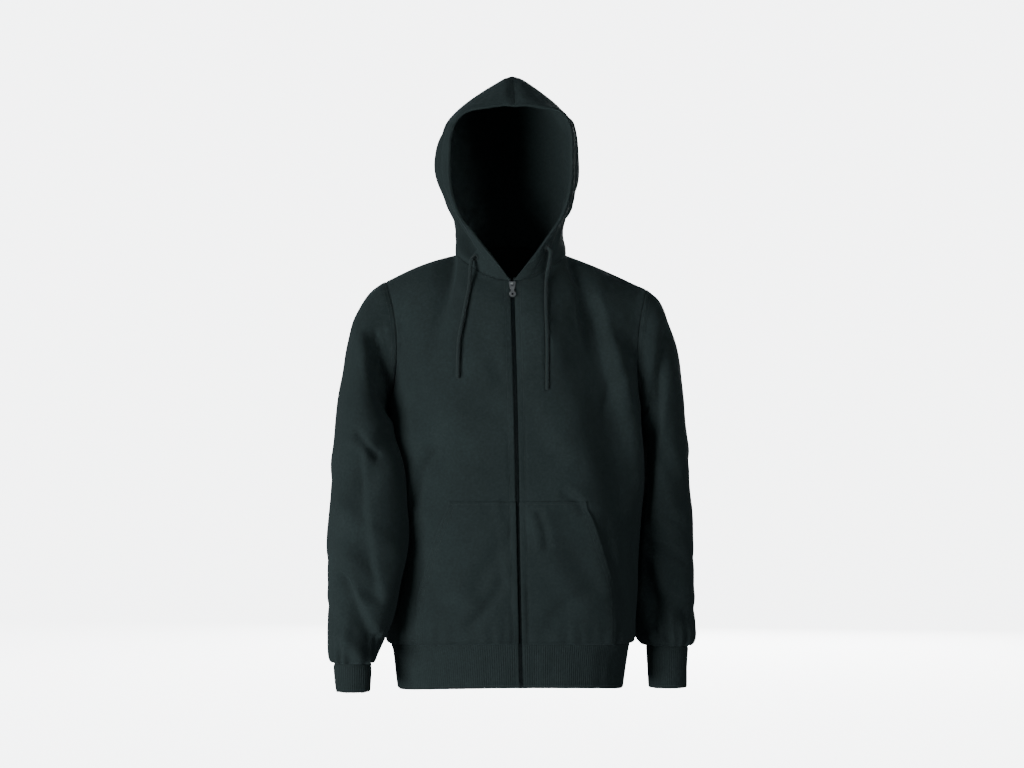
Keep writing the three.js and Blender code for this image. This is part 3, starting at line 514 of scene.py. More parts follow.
def hood_grid(side_name):
    top = len(HOOD["rows"]) - 1
    front = [j / FRONT_NECK_COLUMNS for j in range(FRONT_NECK_COLUMNS + 1)]
    back = [1 + j / BACK_NECK_COLUMNS for j in range(1, BACK_NECK_COLUMNS + 1)]
    heights = [top * i / HOOD_ROWS for i in range(HOOD_ROWS + 1)]
    side = SIDES[side_name]
    return np.array([[hood_point(side, h, a) for a in [*front, *back]] for h in heights])


# Fine grids: a smooth surface through the drawn points, with closer lines beside the seams
EDGE_STEPS = [0, 0.7, 1.6, 2.8, 4.2, 6.0, 8.2, 11, 14.2]


def curve_weights(params, count, closed):
    """How much each drawn point counts at each place of a smooth curve through them."""
    weights = np.zeros((len(params), count))
    last = count if closed else count - 1
    for row, param in zip(weights, params):
        k = int(min(max(math.floor(param), 0), last - 1))
        t = param - k
        value_1, slope_1, value_2, slope_2 = (
            cubic(1, 0, 0, 0, t), cubic(0, 1, 0, 0, t), cubic(0, 0, 1, 0, t), cubic(0, 0, 0, 1, t)
        )
        row[k % count] += value_1
        row[(k + 1) % count] += value_2
        for at, value in ((k, slope_1), (k + 1, slope_2)):
            low = at - 1 if closed else max(at - 1, 0)
            high = at + 1 if closed else min(at + 1, last)
            row[high % count] += value / (high - low)
            row[low % count] -= value / (high - low)
    return weights


def spread(length, step, edge_low=True, edge_high=True):
    """Places from 0 to a length at even steps, closer at the ends that have a seam."""
    low = EDGE_STEPS if edge_low else [0]
    high = [length - v for v in reversed(EDGE_STEPS)] if edge_high else [length]
    count = max(2, round((high[0] - low[-1]) / step))
    middle = np.linspace(low[-1], high[0], count + 1)[1:-1]
    return np.concatenate([low, middle, high])


def mean_travel(points, closed):
    """How far along the surface each drawn line lies on average, down its rows."""
    if closed:
        points = np.concatenate([points, points[:1]])
    steps = np.linalg.norm(np.diff(points, axis=0), axis=2).mean(axis=1)
    return np.concatenate([[0], np.cumsum(steps)])


def fine_grid(drawn, step, across=None, closed=False, edges=(True, True, True, True)):
    """The drawn grid made fine; edges says which of its bottom, top, first and last are seams."""
    travel_rows = mean_travel(drawn, False)
    travel_columns = mean_travel(drawn.swapaxes(0, 1), closed)
    rows = np.interp(
        spread(travel_rows[-1], step, edges[0], edges[1]), travel_rows, np.arange(len(travel_rows))
    )
    beside = (edges[2], edges[3]) if not closed else (False, False)
    columns = np.interp(
        spread(travel_columns[-1], across or step, *beside),
        travel_columns,
        np.arange(len(travel_columns)),
    )
    down = curve_weights(rows, drawn.shape[0], False)
    over = curve_weights(columns, drawn.shape[1], closed)
    return np.einsum("ai,ijk,bj->abk", down, drawn, over), rows, columns


def travel(points, axis):
    """Distance along the surface from its first line, for every point."""
    steps = np.linalg.norm(np.diff(points, axis=axis), axis=2)
    start = np.zeros_like(np.take(steps, [0], axis=axis))
    return np.concatenate([start, np.cumsum(steps, axis=axis)], axis=axis)


def grid_normals(points, flip, closed):
    if closed:
        ring = np.concatenate([points[:, -2:-1], points, points[:, 1:2]], axis=1)
        over = ring[:, 2:] - ring[:, :-2]
    else:
        over = np.gradient(points, axis=1)
    up = np.gradient(points, axis=0)
    normals = unit(np.cross(over, up))
    return -normals if flip else normals


def make_sheet(name, drawn, step, flip=False, closed=False, across=None, edges=(True,) * 4):
    """A piece of cloth as a grid of points, with its distances from each of its edges."""
    points, rows, columns = fine_grid(drawn, step, across, closed, edges)
    over = travel(points, 1)
    up = travel(points, 0)
    return SimpleNamespace(
        name=name,
        flip=flip,
        closed=closed,
        base=points,
        points=points,
        normals=grid_normals(points, flip, closed),
        rows=rows,
        columns=columns,
        over=over,
        up=up,
        bottom=up,
        top=up[-1:] - up,
        first=over,
        last=over[:, -1:] - over,
    )


def push(sheet, distance):
    """Moves a sheet's points in or out; beside a seam both pieces move the same way."""
    sheet.points = sheet.points + sheet.ways * distance[..., None]
    sheet.normals = grid_normals(sheet.points, sheet.flip, sheet.closed)


EDGES = {
    "bottom": (0, slice(None)),
    "top": (-1, slice(None)),
    "first": (slice(None), 0),
    "last": (slice(None), -1),
}
SEAM_REACH = 3.0
SEAM_BLEND = 3.5


def match_edge(sheet, edge, target, reach=22.0):
    """Moves one edge onto the seam's own line, and the cloth beside it along with it."""
    move = target - sheet.base[EDGES[edge]]
    move = move[None] if edge in ("bottom", "top") else move[:, None]
    share = 1 - smooth(getattr(sheet, edge), 0, reach)
    sheet.base = sheet.base + move * share[..., None]


def share_seams(sheets):
    """Gives the points beside a seam one way to move that both of its pieces share."""
    borders = {}
    for name, sheet in sheets.items():
        sheet.normals = grid_normals(sheet.base, sheet.flip, sheet.closed)
        sheet.points = sheet.base
        used = ("bottom", "top") if sheet.closed else EDGES
        borders[name] = {e: (sheet.base[EDGES[e]], sheet.normals[EDGES[e]]) for e in used}
    for name, sheet in sheets.items():
        others = [
            (np.concatenate([p for p, _ in border.values()]),
             np.concatenate([n for _, n in border.values()]))
            for other, border in borders.items() if other != name
        ]
        total = sheet.normals * (1 - seam_share(sheet, borders[name]))[..., None]
        ways = {}
        for edge, (points, normals) in borders[name].items():
            way = normals.copy()
            for other_points, other_normals in others:
                distances = np.linalg.norm(points[:, None] - other_points[None], axis=2)
                nearest = distances.argmin(axis=1)
                close = distances.min(axis=1) < SEAM_REACH
                way += other_normals[nearest] * close[:, None]
            way = unit(way)
            share = hump(getattr(sheet, edge), SEAM_BLEND)
            along = way[None] if edge in ("bottom", "top") else way[:, None]
            total = total + along * share[..., None]
            ways[edge] = way
        sheet.ways = unit(total)
        for edge, way in ways.items():
            sheet.ways[EDGES[edge]] = way


def seam_share(sheet, border):
    shares = [hump(getattr(sheet, edge), SEAM_BLEND) for edge in border]
    return np.maximum.reduce(shares)


def smooth(value, start, end):
    t = np.clip((value - start) / (end - start), 0, 1)
    return t * t * (3 - 2 * t)


def hump(distance, width):
    return np.exp(-((distance / width) ** 2))


# Folds by piece and face: a line between two points of that face, how far it bows sideways, its
# half width, its depth, inwards when negative, how much cloth it raises on one side, and where
# its bottom lies between its sides: 0 in the middle, 1 at the second side
FOLD_COLUMNS = "x1 z1 x2 z2 bow half depth crest lean".split()
FOLDS = {
    ("front_right", "front"): [
        [-176, -205, -120, -330, 6, 34, -5, 0.3, 0],
        [-178, -262, -150, -420, -6, 30, 5, 0, 0],
        [-60, -545, -14, -470, 4, 30, -4, 0.3, 0],
        [-150, -600, -70, -560, -5, 28, 4, 0, 0],
        [-162, -402, -132, -318, 3, 12, -5.5, 0.4, -0.3],
        [-74, -600, -20, -524, -6, 15, -3.6, 0.5, 0],
        [-186, -150, -150, -225, 5, 16, -3, -0.4, 0],
        [-172, -470, -120, -560, 8, 24, -2.6, 0.3, 0],
        [-96, -300, -40, -352, -5, 30, -2, 0.3, 0],
        [-58, -120, -24, -200, 4, 22, -1.6, 0.3, 0],
        [-150, -95, -96, -66, 4, 20, -2, 0.3, 0],
        [-30, -400, -12, -520, 3, 14, 1.6, 0, 0],
    ],
    ("front_left", "front"): [
        [176, -190, 206, -450, 6, 26, 4, 0, 0],
        [40, -430, 110, -560, -6, 36, 4, 0, 0],
        [196, -150, 150, -90, 5, 30, -4, 0.3, 0],
        [38, -418, 50, -470, 3, 11, -3, -0.5, 0],
        [80, -386, 108, -412, 3, 12, -2.8, 0.5, 0],
        [150, -430, 178, -580, -6, 18, -2.8, -0.5, 0],
        [190, -170, 158, -250, -5, 16, -3, 0.4, 0],
        [60, -590, 132, -540, 6, 20, -2.6, 0.4, 0],
        [66, -110, 96, -190, 5, 24, -1.8, 0.3, 0],
        [20, -250, 70, -330, -5, 26, -1.8, 0.3, 0],
        [102, -105, 220, -600, 8, 54, -25, -0.12, 0.5],
        [224, -440, 234, -622, 0, 50, -12, 0, 0],
    ],
    ("back", "back"): [
        [-150, -190, -60, -300, 8, 34, -5, 0.3, 0],
        [158, -180, 70, -310, -8, 36, -5, 0.3, 0],
        [-120, -560, 20, -500, 8, 36, 5, 0, 0],
        [150, -590, 60, -530, -6, 34, 5, 0, 0],
        [-30, -60, -70, -180, 5, 34, -4, 0.3, 0],
        [38, -58, 66, -170, -5, 28, -3, 0.3, 0],
        [-186, -260, -130, -395, 10, 18, -3.2, 0.5, 0],
        [190, -270, 140, -410, -10, 18, -3.4, -0.5, 0],
        [-168, -470, -92, -585, 8, 18, -3, 0.5, 0],
        [172, -450, 104, -560, -8, 20, -3, -0.5, 0],
        [-40, -600, 48, -556, 6, 17, -2.8, 0.4, 0],
        [-64, -380, 30, -440, 8, 22, -2.2, 0.4, 0],
        [-92, -100, -130, -150, 4, 18, -2.2, 0.4, 0],
        [102, -96, 140, -160, -4, 18, -2.2, 0.4, 0],
    ],
    ("sleeve_right", "front"): [
        [-206, -300, -262, -388, 6, 30, -7, 0.2, 0],
        [-196, -470, -268, -420, 5, 28, 5, 0, 0],
        [-282, -528, -212, -642, -6, 22, -15, -0.25, 0.5],
        [-292, -600, -240, -655, 4, 22, 6, 0, 0],
        [-254, -290, -220, -324, -3, 11, -7, -0.3, 0.4],
        [-264, -326, -234, -545, -6, 26, -9, -0.2, 0.5],
        [-230, -130, -188, -248, -4, 17, -13, -0.35, 0.5],
        [-214, -548, -282, -512, 5, 15, -3, 0.5, 0],
        [-290, -470, -232, -520, 5, 18, 3, 0, 0],
        [-222, -640, -262, -606, 4, 12, -3, 0.5, 0],
        [-214, -120, -202, -196, 3, 12, -5, -0.5, 0],
    ],
    ("sleeve_right", "back"): [
        [-286, -420, -220, -350, 6, 30, -6, 0.2, 0],
        [-292, -600, -230, -545, 6, 28, -6, 0.2, 0],
        [-280, -480, -208, -452, 5, 15, -3.4, 0.5, 0],
        [-262, -262, -212, -214, 5, 20, -3, 0.4, 0],
    ],
    ("sleeve_right", "outer"): [
        [-120, -330, -60, -392, 6, 17, -1.6, 0.4, 0],
        [-150, -450, -92, -500, 5, 17, -1.5, -0.4, 0],
        [-140, -600, -84, -560, 5, 15, -1.8, 0.4, 0],
    ],
    ("sleeve_left", "front"): [
        [252, -330, 290, -400, 5, 26, -5, 0.2, 0],
        [222, -560, 292, -592, 6, 24, -7, 0.2, 0],
        [240, -628, 296, -560, 5, 24, 6, 0, 0],
        [228, -480, 290, -504, 5, 13, -3.4, 0.5, 0],
        [262, -110, 216, -430, -7, 19, -9, -0.35, 0],
        [218, -520, 246, -632, 4, 24, -10, 0.3, 0.3],
        [262, -430, 296, -462, 4, 15, -2.6, 0.4, 0],
        [226, -618, 262, -640, 3, 10, -2.6, 0.5, 0],
    ],
    ("sleeve_left", "back"): [
        [286, -440, 210, -380, 6, 32, -7, 0.2, 0],
        [290, -600, 220, -555, 6, 28, -7, 0.2, 0],
        [286, -500, 214, -470, 5, 15, -3.4, 0.5, 0],
        [270, -262, 232, -200, 5, 20, -3, 0.4, 0],
    ],
    ("sleeve_left", "outer"): [
        [20, -330, 84, -385, 6, 17, -1.6, 0.4, 0],
        [30, -520, 92, -472, 5, 17, -1.5, -0.4, 0],
        [24, -604, 86, -570, 5, 15, -1.8, 0.4, 0],
    ],
    ("hood_right", "front"): [
        [-92, 6, -72, 66, 4, 18, -5, 0.3, 0],
        [-90, 36, -70, 4, 2, 12, -9, 0.3, 0],
    ],
    ("hood_right", "outer"): [
        [-14, 52, -70, 2, 4, 16, -13, 0.4, 0],
        [-56, 210, -46, 90, 4, 12, -3.6, 0.5, 0],
        [-24, 222, -18, 96, -4, 13, -3.4, -0.5, 0],
        [-70, 2, -30, 70, 6, 12, -3.4, 0.5, 0],
        [-6, 22, 40, 84, 8, 14, -3, 0.5, 0],
        [48, 40, 70, 108, 5, 15, -2.6, 0.4, 0],
        [-40, 190, 40, 232, 8, 26, -2.4, 0.3, 0],
    ],
    ("hood_left", "outer"): [
        [-58, 216, -50, 80, 4, 10, -4.6, 0.6, 0],
        [-34, 222, -26, 66, -4, 10, -4.2, -0.6, 0],
        [-6, 216, 2, 90, 3, 12, -3.8, 0.6, 0],
        [-64, 4, -26, 62, 6, 13, -3.2, 0.5, 0],
        [0, 26, 44, 92, 8, 14, -3, -0.5, 0],
        [50, 36, 74, 112, 5, 15, -2.6, 0.4, 0],
        [-34, 196, 44, 226, 8, 26, -2.2, 0.3, 0],
    ],
    ("hood_right", "back"): [
        [-60, 60, -20, 104, 5, 16, -2.8, 0.5, 0],
    ],
    ("hood_left", "front"): [
        [90, 4, 78, 56, -4, 18, -4, 0.3, 0],
    ],
    ("hood_left", "back"): [
        [60, 66, 24, 110, 5, 16, -2.8, 0.5, 0],
    ],
}
FACES = {"front": (0, 1, -1), "back": (0, 1, 1), "outer": (1, 0, 1)}
# The raised cloth beside a fold, in half widths: its distance, its width and how far it runs on
CREST_PLACE = 1.25
CREST_WIDTH = 0.6
CREST_END = 0.7


def fold_push(sheet):
    """How far a piece's folds move each of its points."""
    total = np.zeros(sheet.base.shape[:2])
    side = -1 if sheet.name.endswith("right") else 1
    folds = [
        (face, named(FOLD_COLUMNS, row))
        for (piece, face), rows in FOLDS.items() if piece == sheet.name
        for row in rows
    ]
    for face, fold in folds:
        across, facing, sign = FACES[face]
        sign = sign * side if face == "outer" else sign
        toward = np.clip(sheet.normals[..., facing] * sign, 0, 1)
        run = np.array([fold.x2 - fold.x1, fold.z2 - fold.z1], float)
        aside = np.array([-run[1], run[0]]) / np.linalg.norm(run)
        place = sheet.base[..., [across, 2]] - np.array([fold.x1, fold.z1])
        t = np.clip(place @ run / (run @ run), 0, 1)
        centre = t[..., None] * run + aside * (fold.bow * 4 * t * (1 - t))[..., None]
        away = place - centre
        distance = np.linalg.norm(away, axis=2) / fold.half
        across_share = away @ aside / fold.half
        low_side = across_share > fold.lean
        slope = (across_share - fold.lean) / np.where(low_side, 1 - fold.lean, 1 + fold.lean)
        past_end = np.sqrt(np.maximum(distance**2 - across_share**2, 0))
        reach = np.minimum(np.hypot(slope, past_end), 1)
        core = (1 + np.cos(np.pi * reach)) / 2
        beside = across_share * np.sign(fold.crest or 1)
        ends = np.linalg.norm(away - (away @ aside)[..., None] * aside, axis=2) / fold.half
        crest = hump(beside - CREST_PLACE, CREST_WIDTH) * hump(ends, CREST_END)
        total += fold.depth * (core - abs(fold.crest) * crest) * toward
    return total


# Slow uneven waves that run through the whole garment, as its cloth is never quite even
rng = np.random.default_rng(41)
WAVE_COUNT = 18
WAVE_LENGTHS = rng.uniform(48, 150, WAVE_COUNT)
WAVE_WAYS = unit(rng.normal(size=(WAVE_COUNT, 3)))
WAVE_STARTS = rng.uniform(0, 2 * math.pi, WAVE_COUNT)
WAVE_HEIGHT = 0.42


def waves(points):
    total = np.zeros(points.shape[:-1])
    for length, way, start in zip(WAVE_LENGTHS, WAVE_WAYS, WAVE_STARTS):
        total += np.sin(points @ way * 2 * math.pi / length + start) * (length / 100)
    return total * WAVE_HEIGHT


def ripple(along, pitch, start=0.0):
    """Uneven ripples along a seam."""
    drift = 1.6 * np.sin(along * 2 * math.pi / (pitch * 5.3) + start)
    swell = 0.7 + 0.3 * np.sin(along * 2 * math.pi / (pitch * 3.1) + 2 * start)
    return np.sin(along * 2 * math.pi / pitch + drift + start) * swell


def gathers(distance, along, height, peak, pitch, start=0.0):
    """Fullness that is drawn in at a seam: nothing on the seam, most a little way off it."""
    return height * ripple(along, pitch, start) * (distance / peak) * np.exp(1 - distance / peak)


SEAM_DEPTH = 1.0


def blouse(distance, height, peak):
    """Cloth that hangs out over a tighter band."""
    return height * (distance / peak) * np.exp(1 - distance / peak)


def seam_dip(distance, width=1.5):
    """A panel rolls in at a plain seam, as deep as the piece on its other side."""
    return -SEAM_DEPTH * hump(distance, width)


def stitched(distance, along, inset, start=0.0, depth=0.45, pucker=0.28, pitch=13.0):
    """A line of topstitching presses the cloth in and puckers it along its length."""
    line = -depth * hump(distance - inset, 1.1)
    pull = pucker * ripple(along, pitch, start) * np.exp(-np.abs(distance - inset) / 7)
    return (line + pull) * smooth(distance, 0, 3)


# Sewing, as distances from the edge that each line follows
ZIP_STITCH = 9.5
TWIN_NEAR = 4.0
TWIN_FAR = 9.6
HOOD_HEM = 27.0
POCKET_STITCH = 5.0
POCKET_STITCH_FAR = 11.0
OFF_SEAM = 14.0


def seam_dips(sheet, *names):
    """The deepest of the dips of the seams named, so that corners aren't pressed in twice."""
    return np.minimum.reduce([seam_dip(getattr(sheet, name)) for name in names])


def off_edges(sheet, *names):
    """One inside a piece and nothing on the edges named."""
    mask = np.ones(sheet.base.shape[:2])
    for name in names:
        mask = mask * smooth(getattr(sheet, name), 0, OFF_SEAM)
    return mask


def route_line(side_name):
    """A cord's route as a smooth line of close points."""
    points = np.array(CORD_ROUTES[side_name], float)
    gaps = np.sqrt(np.linalg.norm(np.diff(points, axis=0), axis=1))
    knots = np.concatenate([[0], np.cumsum(gaps)])
    slopes = np.gradient(points, knots, axis=0)
    line = []
    for k in range(len(points) - 1):
        span = knots[k + 1] - knots[k]
        for t in np.linspace(0, 1, 24, endpoint=False):
            line.append(cubic(points[k], slopes[k] * span, points[k + 1], slopes[k + 1] * span, t))
    return np.array([*line, points[-1]])


CORD_LINES = {name: route_line(name) for name in SIDES}


def make_room_for_cords(sheet, clearance=0.25):
    """Presses the cloth in where a cord lies on it."""
    need = CORD_RADIUS + clearance
    for line in CORD_LINES.values():
        near = np.linalg.norm(sheet.points - line.mean(axis=0), axis=2) < 170
        points = sheet.points[near]
        if not len(points):
            continue
        gaps = points[:, None] - line[None]
        distances = np.linalg.norm(gaps, axis=2)
        closest = distances.argmin(axis=1)
        gap = distances[np.arange(len(points)), closest]
        outside = gaps[np.arange(len(points)), closest]
        depth = (outside * sheet.ways[near]).sum(axis=1)
        sideways = np.sqrt(np.maximum(gap**2 - depth**2, 0))
        wanted = np.where(sideways < need, -np.sqrt(np.maximum(need**2 - sideways**2, 0)), depth)
        inwards = np.where((sideways < need) & (depth > wanted), depth - wanted, 0)
        inwards = np.minimum(inwards, 5)
        sheet.points[near] -= sheet.ways[near] * inwards[:, None]
    sheet.normals = grid_normals(sheet.points, sheet.flip, sheet.closed)


def along_edge(sheet, edge, inset, start=0.0, end=0.0):
    """The line on a sheet at a distance from one of its edges, and the way it faces there."""
    distances = getattr(sheet, edge)
    count = len(distances) if edge in ("first", "last") else distances.shape[1]
    points, normals = [], []
    for k in range(count):
        across = distances[k] if edge in ("first", "last") else distances[:, k]
        line = sheet.points[k] if edge in ("first", "last") else sheet.points[:, k]
        facing = sheet.normals[k] if edge in ("first", "last") else sheet.normals[:, k]
        order = slice(None) if across[0] < across[-1] else slice(None, None, -1)
        points.append([np.interp(inset, across[order], line[order][:, c]) for c in range(3)])
        normals.append([np.interp(inset, across[order], facing[order][:, c]) for c in range(3)])
    points, normals = np.array(points), unit(np.array(normals))
    steps = np.linalg.norm(np.diff(points, axis=0), axis=1)
    at = np.concatenate([[0], np.cumsum(steps)])
    keep = (at >= start) & (at <= at[-1] - end)
    return points[keep], normals[keep]


def bilinear(grid, rows, columns):
    """A grid's values at places between its lines, rows and columns counted in lines."""
    rows, columns = np.meshgrid(rows, columns, indexing="ij")
    i = np.clip(np.floor(rows).astype(int), 0, grid.shape[0] - 2)
    j = np.clip(np.floor(columns).astype(int), 0, grid.shape[1] - 2)
    s, t = (rows - i)[..., None], (columns - j)[..., None]
    low = grid[i, j] * (1 - t) + grid[i, j + 1] * t
    high = grid[i + 1, j] * (1 - t) + grid[i + 1, j + 1] * t
    return low * (1 - s) + high * s


# Materials
def new_material(name, color, roughness, metallic=0.0):
    material = bpy.data.materials.new(name)
    material.use_nodes = True
    shader = material.node_tree.nodes["Principled BSDF"]
    shader.inputs["Base Color"].default_value = (*color, 1)
    shader.inputs["Roughness"].default_value = roughness
    shader.inputs["Metallic"].default_value = metallic
    return material, material.node_tree, shader


def math_node(tree, operation, first, second=None, third=None):
    node = tree.nodes.new("ShaderNodeMath")
    node.operation = operation
    for socket, value in zip(node.inputs, (first, second, third)):
        if value is None:
            continue
        if isinstance(value, (int, float)):
            socket.default_value = value
        else:
            tree.links.new(value, socket)
    return node.outputs[0]


def noise_node(tree, place, scale, detail=2.0, roughness=0.5):
    node = tree.nodes.new("ShaderNodeTexNoise")
    node.inputs["Scale"].default_value = scale
    node.inputs["Detail"].default_value = detail
    node.inputs["Roughness"].default_value = roughness
    tree.links.new(place, node.inputs["Vector"])
    return node.outputs["Fac"]


def ramp_node(tree, value, stops):
    node = tree.nodes.new("ShaderNodeValToRGB")
    elements = node.color_ramp.elements
    while len(elements) < len(stops):
        elements.new(0.5)
    for element, (position, color) in zip(elements, stops):
        element.position = position
        element.color = (*color, 1)
    tree.links.new(value, node.inputs["Fac"])
    return node.outputs["Color"]


def bump_node(tree, height, distance, strength, below=None):
    node = tree.nodes.new("ShaderNodeBump")
    node.inputs["Distance"].default_value = distance
    node.inputs["Strength"].default_value = strength
    tree.links.new(height, node.inputs["Height"])
    if below is not None:
        tree.links.new(below, node.inputs["Normal"])
    return node.outputs["Normal"]


def shade(color, factor):
    return tuple(channel * factor for channel in color)


def knit_height(tree, place, wale, course):
    """Columns of V-shaped stitches, a wale wide and a course high."""
    parts = tree.nodes.new("ShaderNodeSeparateXYZ")
    tree.links.new(place, parts.inputs[0])
    column = math_node(tree, "FRACT", math_node(tree, "DIVIDE", parts.outputs["X"], wale))
    leg = math_node(tree, "ABSOLUTE", math_node(tree, "SUBTRACT", column, 0.5))
    slant = math_node(tree, "MULTIPLY", leg, 1.1)
    row = math_node(tree, "DIVIDE", parts.outputs["Y"], course)
    loop = math_node(tree, "FRACT", math_node(tree, "SUBTRACT", row, slant))
    rounded = math_node(tree, "SINE", math_node(tree, "MULTIPLY", loop, math.pi))
    legs = math_node(tree, "SINE", math_node(tree, "MULTIPLY", leg, 2 * math.pi))
    return math_node(tree, "MULTIPLY", rounded, legs)


def cloth_material(name, color, wale, course, fuzz, rib_shade=None):
    """Brushed knit: small stitches, a short fuzz over them and slow changes of shade."""
    material, tree, shader = new_material(name, color, 0.93)
    uv = tree.nodes.new("ShaderNodeTexCoord").outputs["UV"]
    body = tree.nodes.new("ShaderNodeTexCoord").outputs["Object"]
    knit = knit_height(tree, uv, wale, course)
    hairs = noise_node(tree, body, 1400, 3, 0.7)
    tufts = noise_node(tree, body, 260, 3, 0.6)
    fade = noise_node(tree, body, 11, 3, 0.55)
    mottle = math_node(tree, "MULTIPLY_ADD", tufts, 0.55, math_node(tree, "MULTIPLY", fade, 0.45))
    speckle = math_node(tree, "MULTIPLY_ADD", hairs, 0.3, math_node(tree, "MULTIPLY", mottle, 0.7))
    tone = math_node(tree, "MULTIPLY_ADD", knit, 0.08, speckle)
    stops = [(0.32, shade(color, 0.72)), (0.52, color), (0.72, shade(color, 1.38))]
    tree.links.new(ramp_node(tree, tone, stops), shader.inputs["Base Color"])
    knitted = bump_node(tree, knit, 0.00022, 0.55)
    tufted = bump_node(tree, tufts, 0.0005, 0.35, knitted)
    fuzzy = bump_node(tree, hairs, 0.0002, fuzz, tufted)
    tree.links.new(fuzzy, shader.inputs["Normal"])
    shader.inputs["Sheen Weight"].default_value = 0.06
    shader.inputs["Sheen Roughness"].default_value = 0.5
    shader.inputs["Sheen Tint"].default_value = (0.5, 0.75, 0.78, 1)
    shader.inputs["Specular IOR Level"].default_value = 0.15
    return material


def thread_material():
    material, tree, shader = new_material("sewing_thread", THREAD_COLOR, 0.6)
    body = tree.nodes.new("ShaderNodeTexCoord").outputs["Object"]
    twist = noise_node(tree, body, 900, 2)
    stops = [(0.3, shade(THREAD_COLOR, 0.6)), (0.7, shade(THREAD_COLOR, 1.5))]
    tree.links.new(ramp_node(tree, twist, stops), shader.inputs["Base Color"])
    tree.links.new(bump_node(tree, twist, 0.0002, 0.5), shader.inputs["Normal"])
    shader.inputs["Sheen Weight"].default_value = 0.05
    shader.inputs["Specular IOR Level"].default_value = 0.2
    return material


def tape_material():
    """Woven zip tape: fine herringbone bumps."""
    material, tree, shader = new_material("zip_tape", TAPE_COLOR, 0.85)
    shader.inputs["Specular IOR Level"].default_value = 0.1
    body = tree.nodes.new("ShaderNodeTexCoord").outputs["Object"]
    wave = tree.nodes.new("ShaderNodeTexWave")
    wave.inputs["Scale"].default_value = 420
    wave.inputs["Distortion"].default_value = 1.5
    wave.bands_direction = "DIAGONAL"
    tree.links.new(body, wave.inputs["Vector"])
    stops = [(0.2, shade(TAPE_COLOR, 0.6)), (0.8, shade(TAPE_COLOR, 1.5))]
    tree.links.new(ramp_node(tree, wave.outputs["Fac"], stops), shader.inputs["Base Color"])
    tree.links.new(bump_node(tree, wave.outputs["Fac"], 0.0002, 0.5), shader.inputs["Normal"])
    return material


def cord_material():
    """Braided cotton: pairs of strands crossing round the cord."""
    material, tree, shader = new_material("braided_cord", CORD_COLOR, 0.88)
    uv = tree.nodes.new("ShaderNodeTexCoord").outputs["UV"]
    body = tree.nodes.new("ShaderNodeTexCoord").outputs["Object"]
    strands = knit_height(tree, uv, 0.0006, 0.0006)
    fuzz = noise_node(tree, body, 1500, 3, 0.7)
    tone = math_node(tree, "MULTIPLY_ADD", strands, 0.25, math_node(tree, "MULTIPLY", fuzz, 0.8))
    stops = [(0.3, shade(CORD_COLOR, 0.65)), (0.7, shade(CORD_COLOR, 1.4))]
    tree.links.new(ramp_node(tree, tone, stops), shader.inputs["Base Color"])
    woven = bump_node(tree, strands, 0.0002, 0.5)
    tree.links.new(bump_node(tree, fuzz, 0.0002, 0.4, woven), shader.inputs["Normal"])
    shader.inputs["Sheen Weight"].default_value = 0.08
    shader.inputs["Specular IOR Level"].default_value = 0.15
    return material


def metal_material():
    """Nickel-plated die casting, lightly brushed and a little dull in uneven patches."""
    material, tree, shader = new_material("nickel", NICKEL_COLOR, 0.3, 1.0)
    body = tree.nodes.new("ShaderNodeTexCoord").outputs["Object"]
    stretch = tree.nodes.new("ShaderNodeMapping")
    stretch.inputs["Scale"].default_value = (1, 1, 0.08)
    tree.links.new(body, stretch.inputs["Vector"])
    brushed = noise_node(tree, stretch.outputs["Vector"], 3000, 2)
    dull = noise_node(tree, body, 500, 3)
    level = math_node(tree, "MULTIPLY_ADD", brushed, 0.2, math_node(tree, "MULTIPLY", dull, 0.3))
    tree.links.new(math_node(tree, "ADD", level, 0.12), shader.inputs["Roughness"])
    stops = [(0.3, shade(NICKEL_COLOR, 0.75)), (0.6, NICKEL_COLOR)]
    tree.links.new(ramp_node(tree, dull, stops), shader.inputs["Base Color"])
    tree.links.new(bump_node(tree, brushed, 0.00003, 0.5), shader.inputs["Normal"])
    return material


def teeth_material():
    """Moulded teeth with a soft gloss, coloured near black as painted shadow of the narrow gap
    between the fronts.
    """
    material, tree, shader = new_material("zip_teeth", TEETH_PAINTED_SHADOW_COLOR, 0.5)
    shader.inputs["Specular IOR Level"].default_value = 0.12
    body = tree.nodes.new("ShaderNodeTexCoord").outputs["Object"]
    wear = noise_node(tree, body, 700, 3)
    stops = [(0.3, shade(TEETH_PAINTED_SHADOW_COLOR, 0.7)), (0.7, shade(TEETH_PAINTED_SHADOW_COLOR, 1.5))]
    tree.links.new(ramp_node(tree, wear, stops), shader.inputs["Base Color"])
    tree.links.new(bump_node(tree, wear, 0.00008, 0.4), shader.inputs["Normal"])
    return material


FLEECE_COLOR = (0.0160, 0.0245, 0.0250)
RIB_COLOR = (0.0168, 0.0255, 0.0260)
THREAD_COLOR = (0.0165, 0.0255, 0.0260)
TAPE_COLOR = (0.0090, 0.0145, 0.0150)
CORD_COLOR = (0.0160, 0.0250, 0.0255)
NICKEL_COLOR = (0.42, 0.45, 0.46)
# The teeth's near-black colour is painted shadow of the narrow gap between the fronts that hides
# them
TEETH_PAINTED_SHADOW_COLOR = (0.0030, 0.0062, 0.0070)
LOOKS = {
    "fleece": cloth_material("brushed_fleece", FLEECE_COLOR, 0.00085, 0.0007, 0.5),
    "rib": cloth_material("rib_knit", RIB_COLOR, 0.0008, 0.0007, 0.35),
    "thread": thread_material(),
    "tape": tape_material(),
    "cord": cord_material(),
    "metal": metal_material(),
    "teeth": teeth_material(),
}


def add_piece(name, mesh, look, body="garment", smooth_faces=True):
    piece = bpy.data.objects.new(name, mesh)
    bpy.context.scene.collection.objects.link(piece)
    mesh.materials.clear()
    mesh.materials.append(LOOKS[look])
    mesh.polygons.foreach_set("use_smooth", [smooth_faces] * len(mesh.polygons))
    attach(piece, body)
    return piece


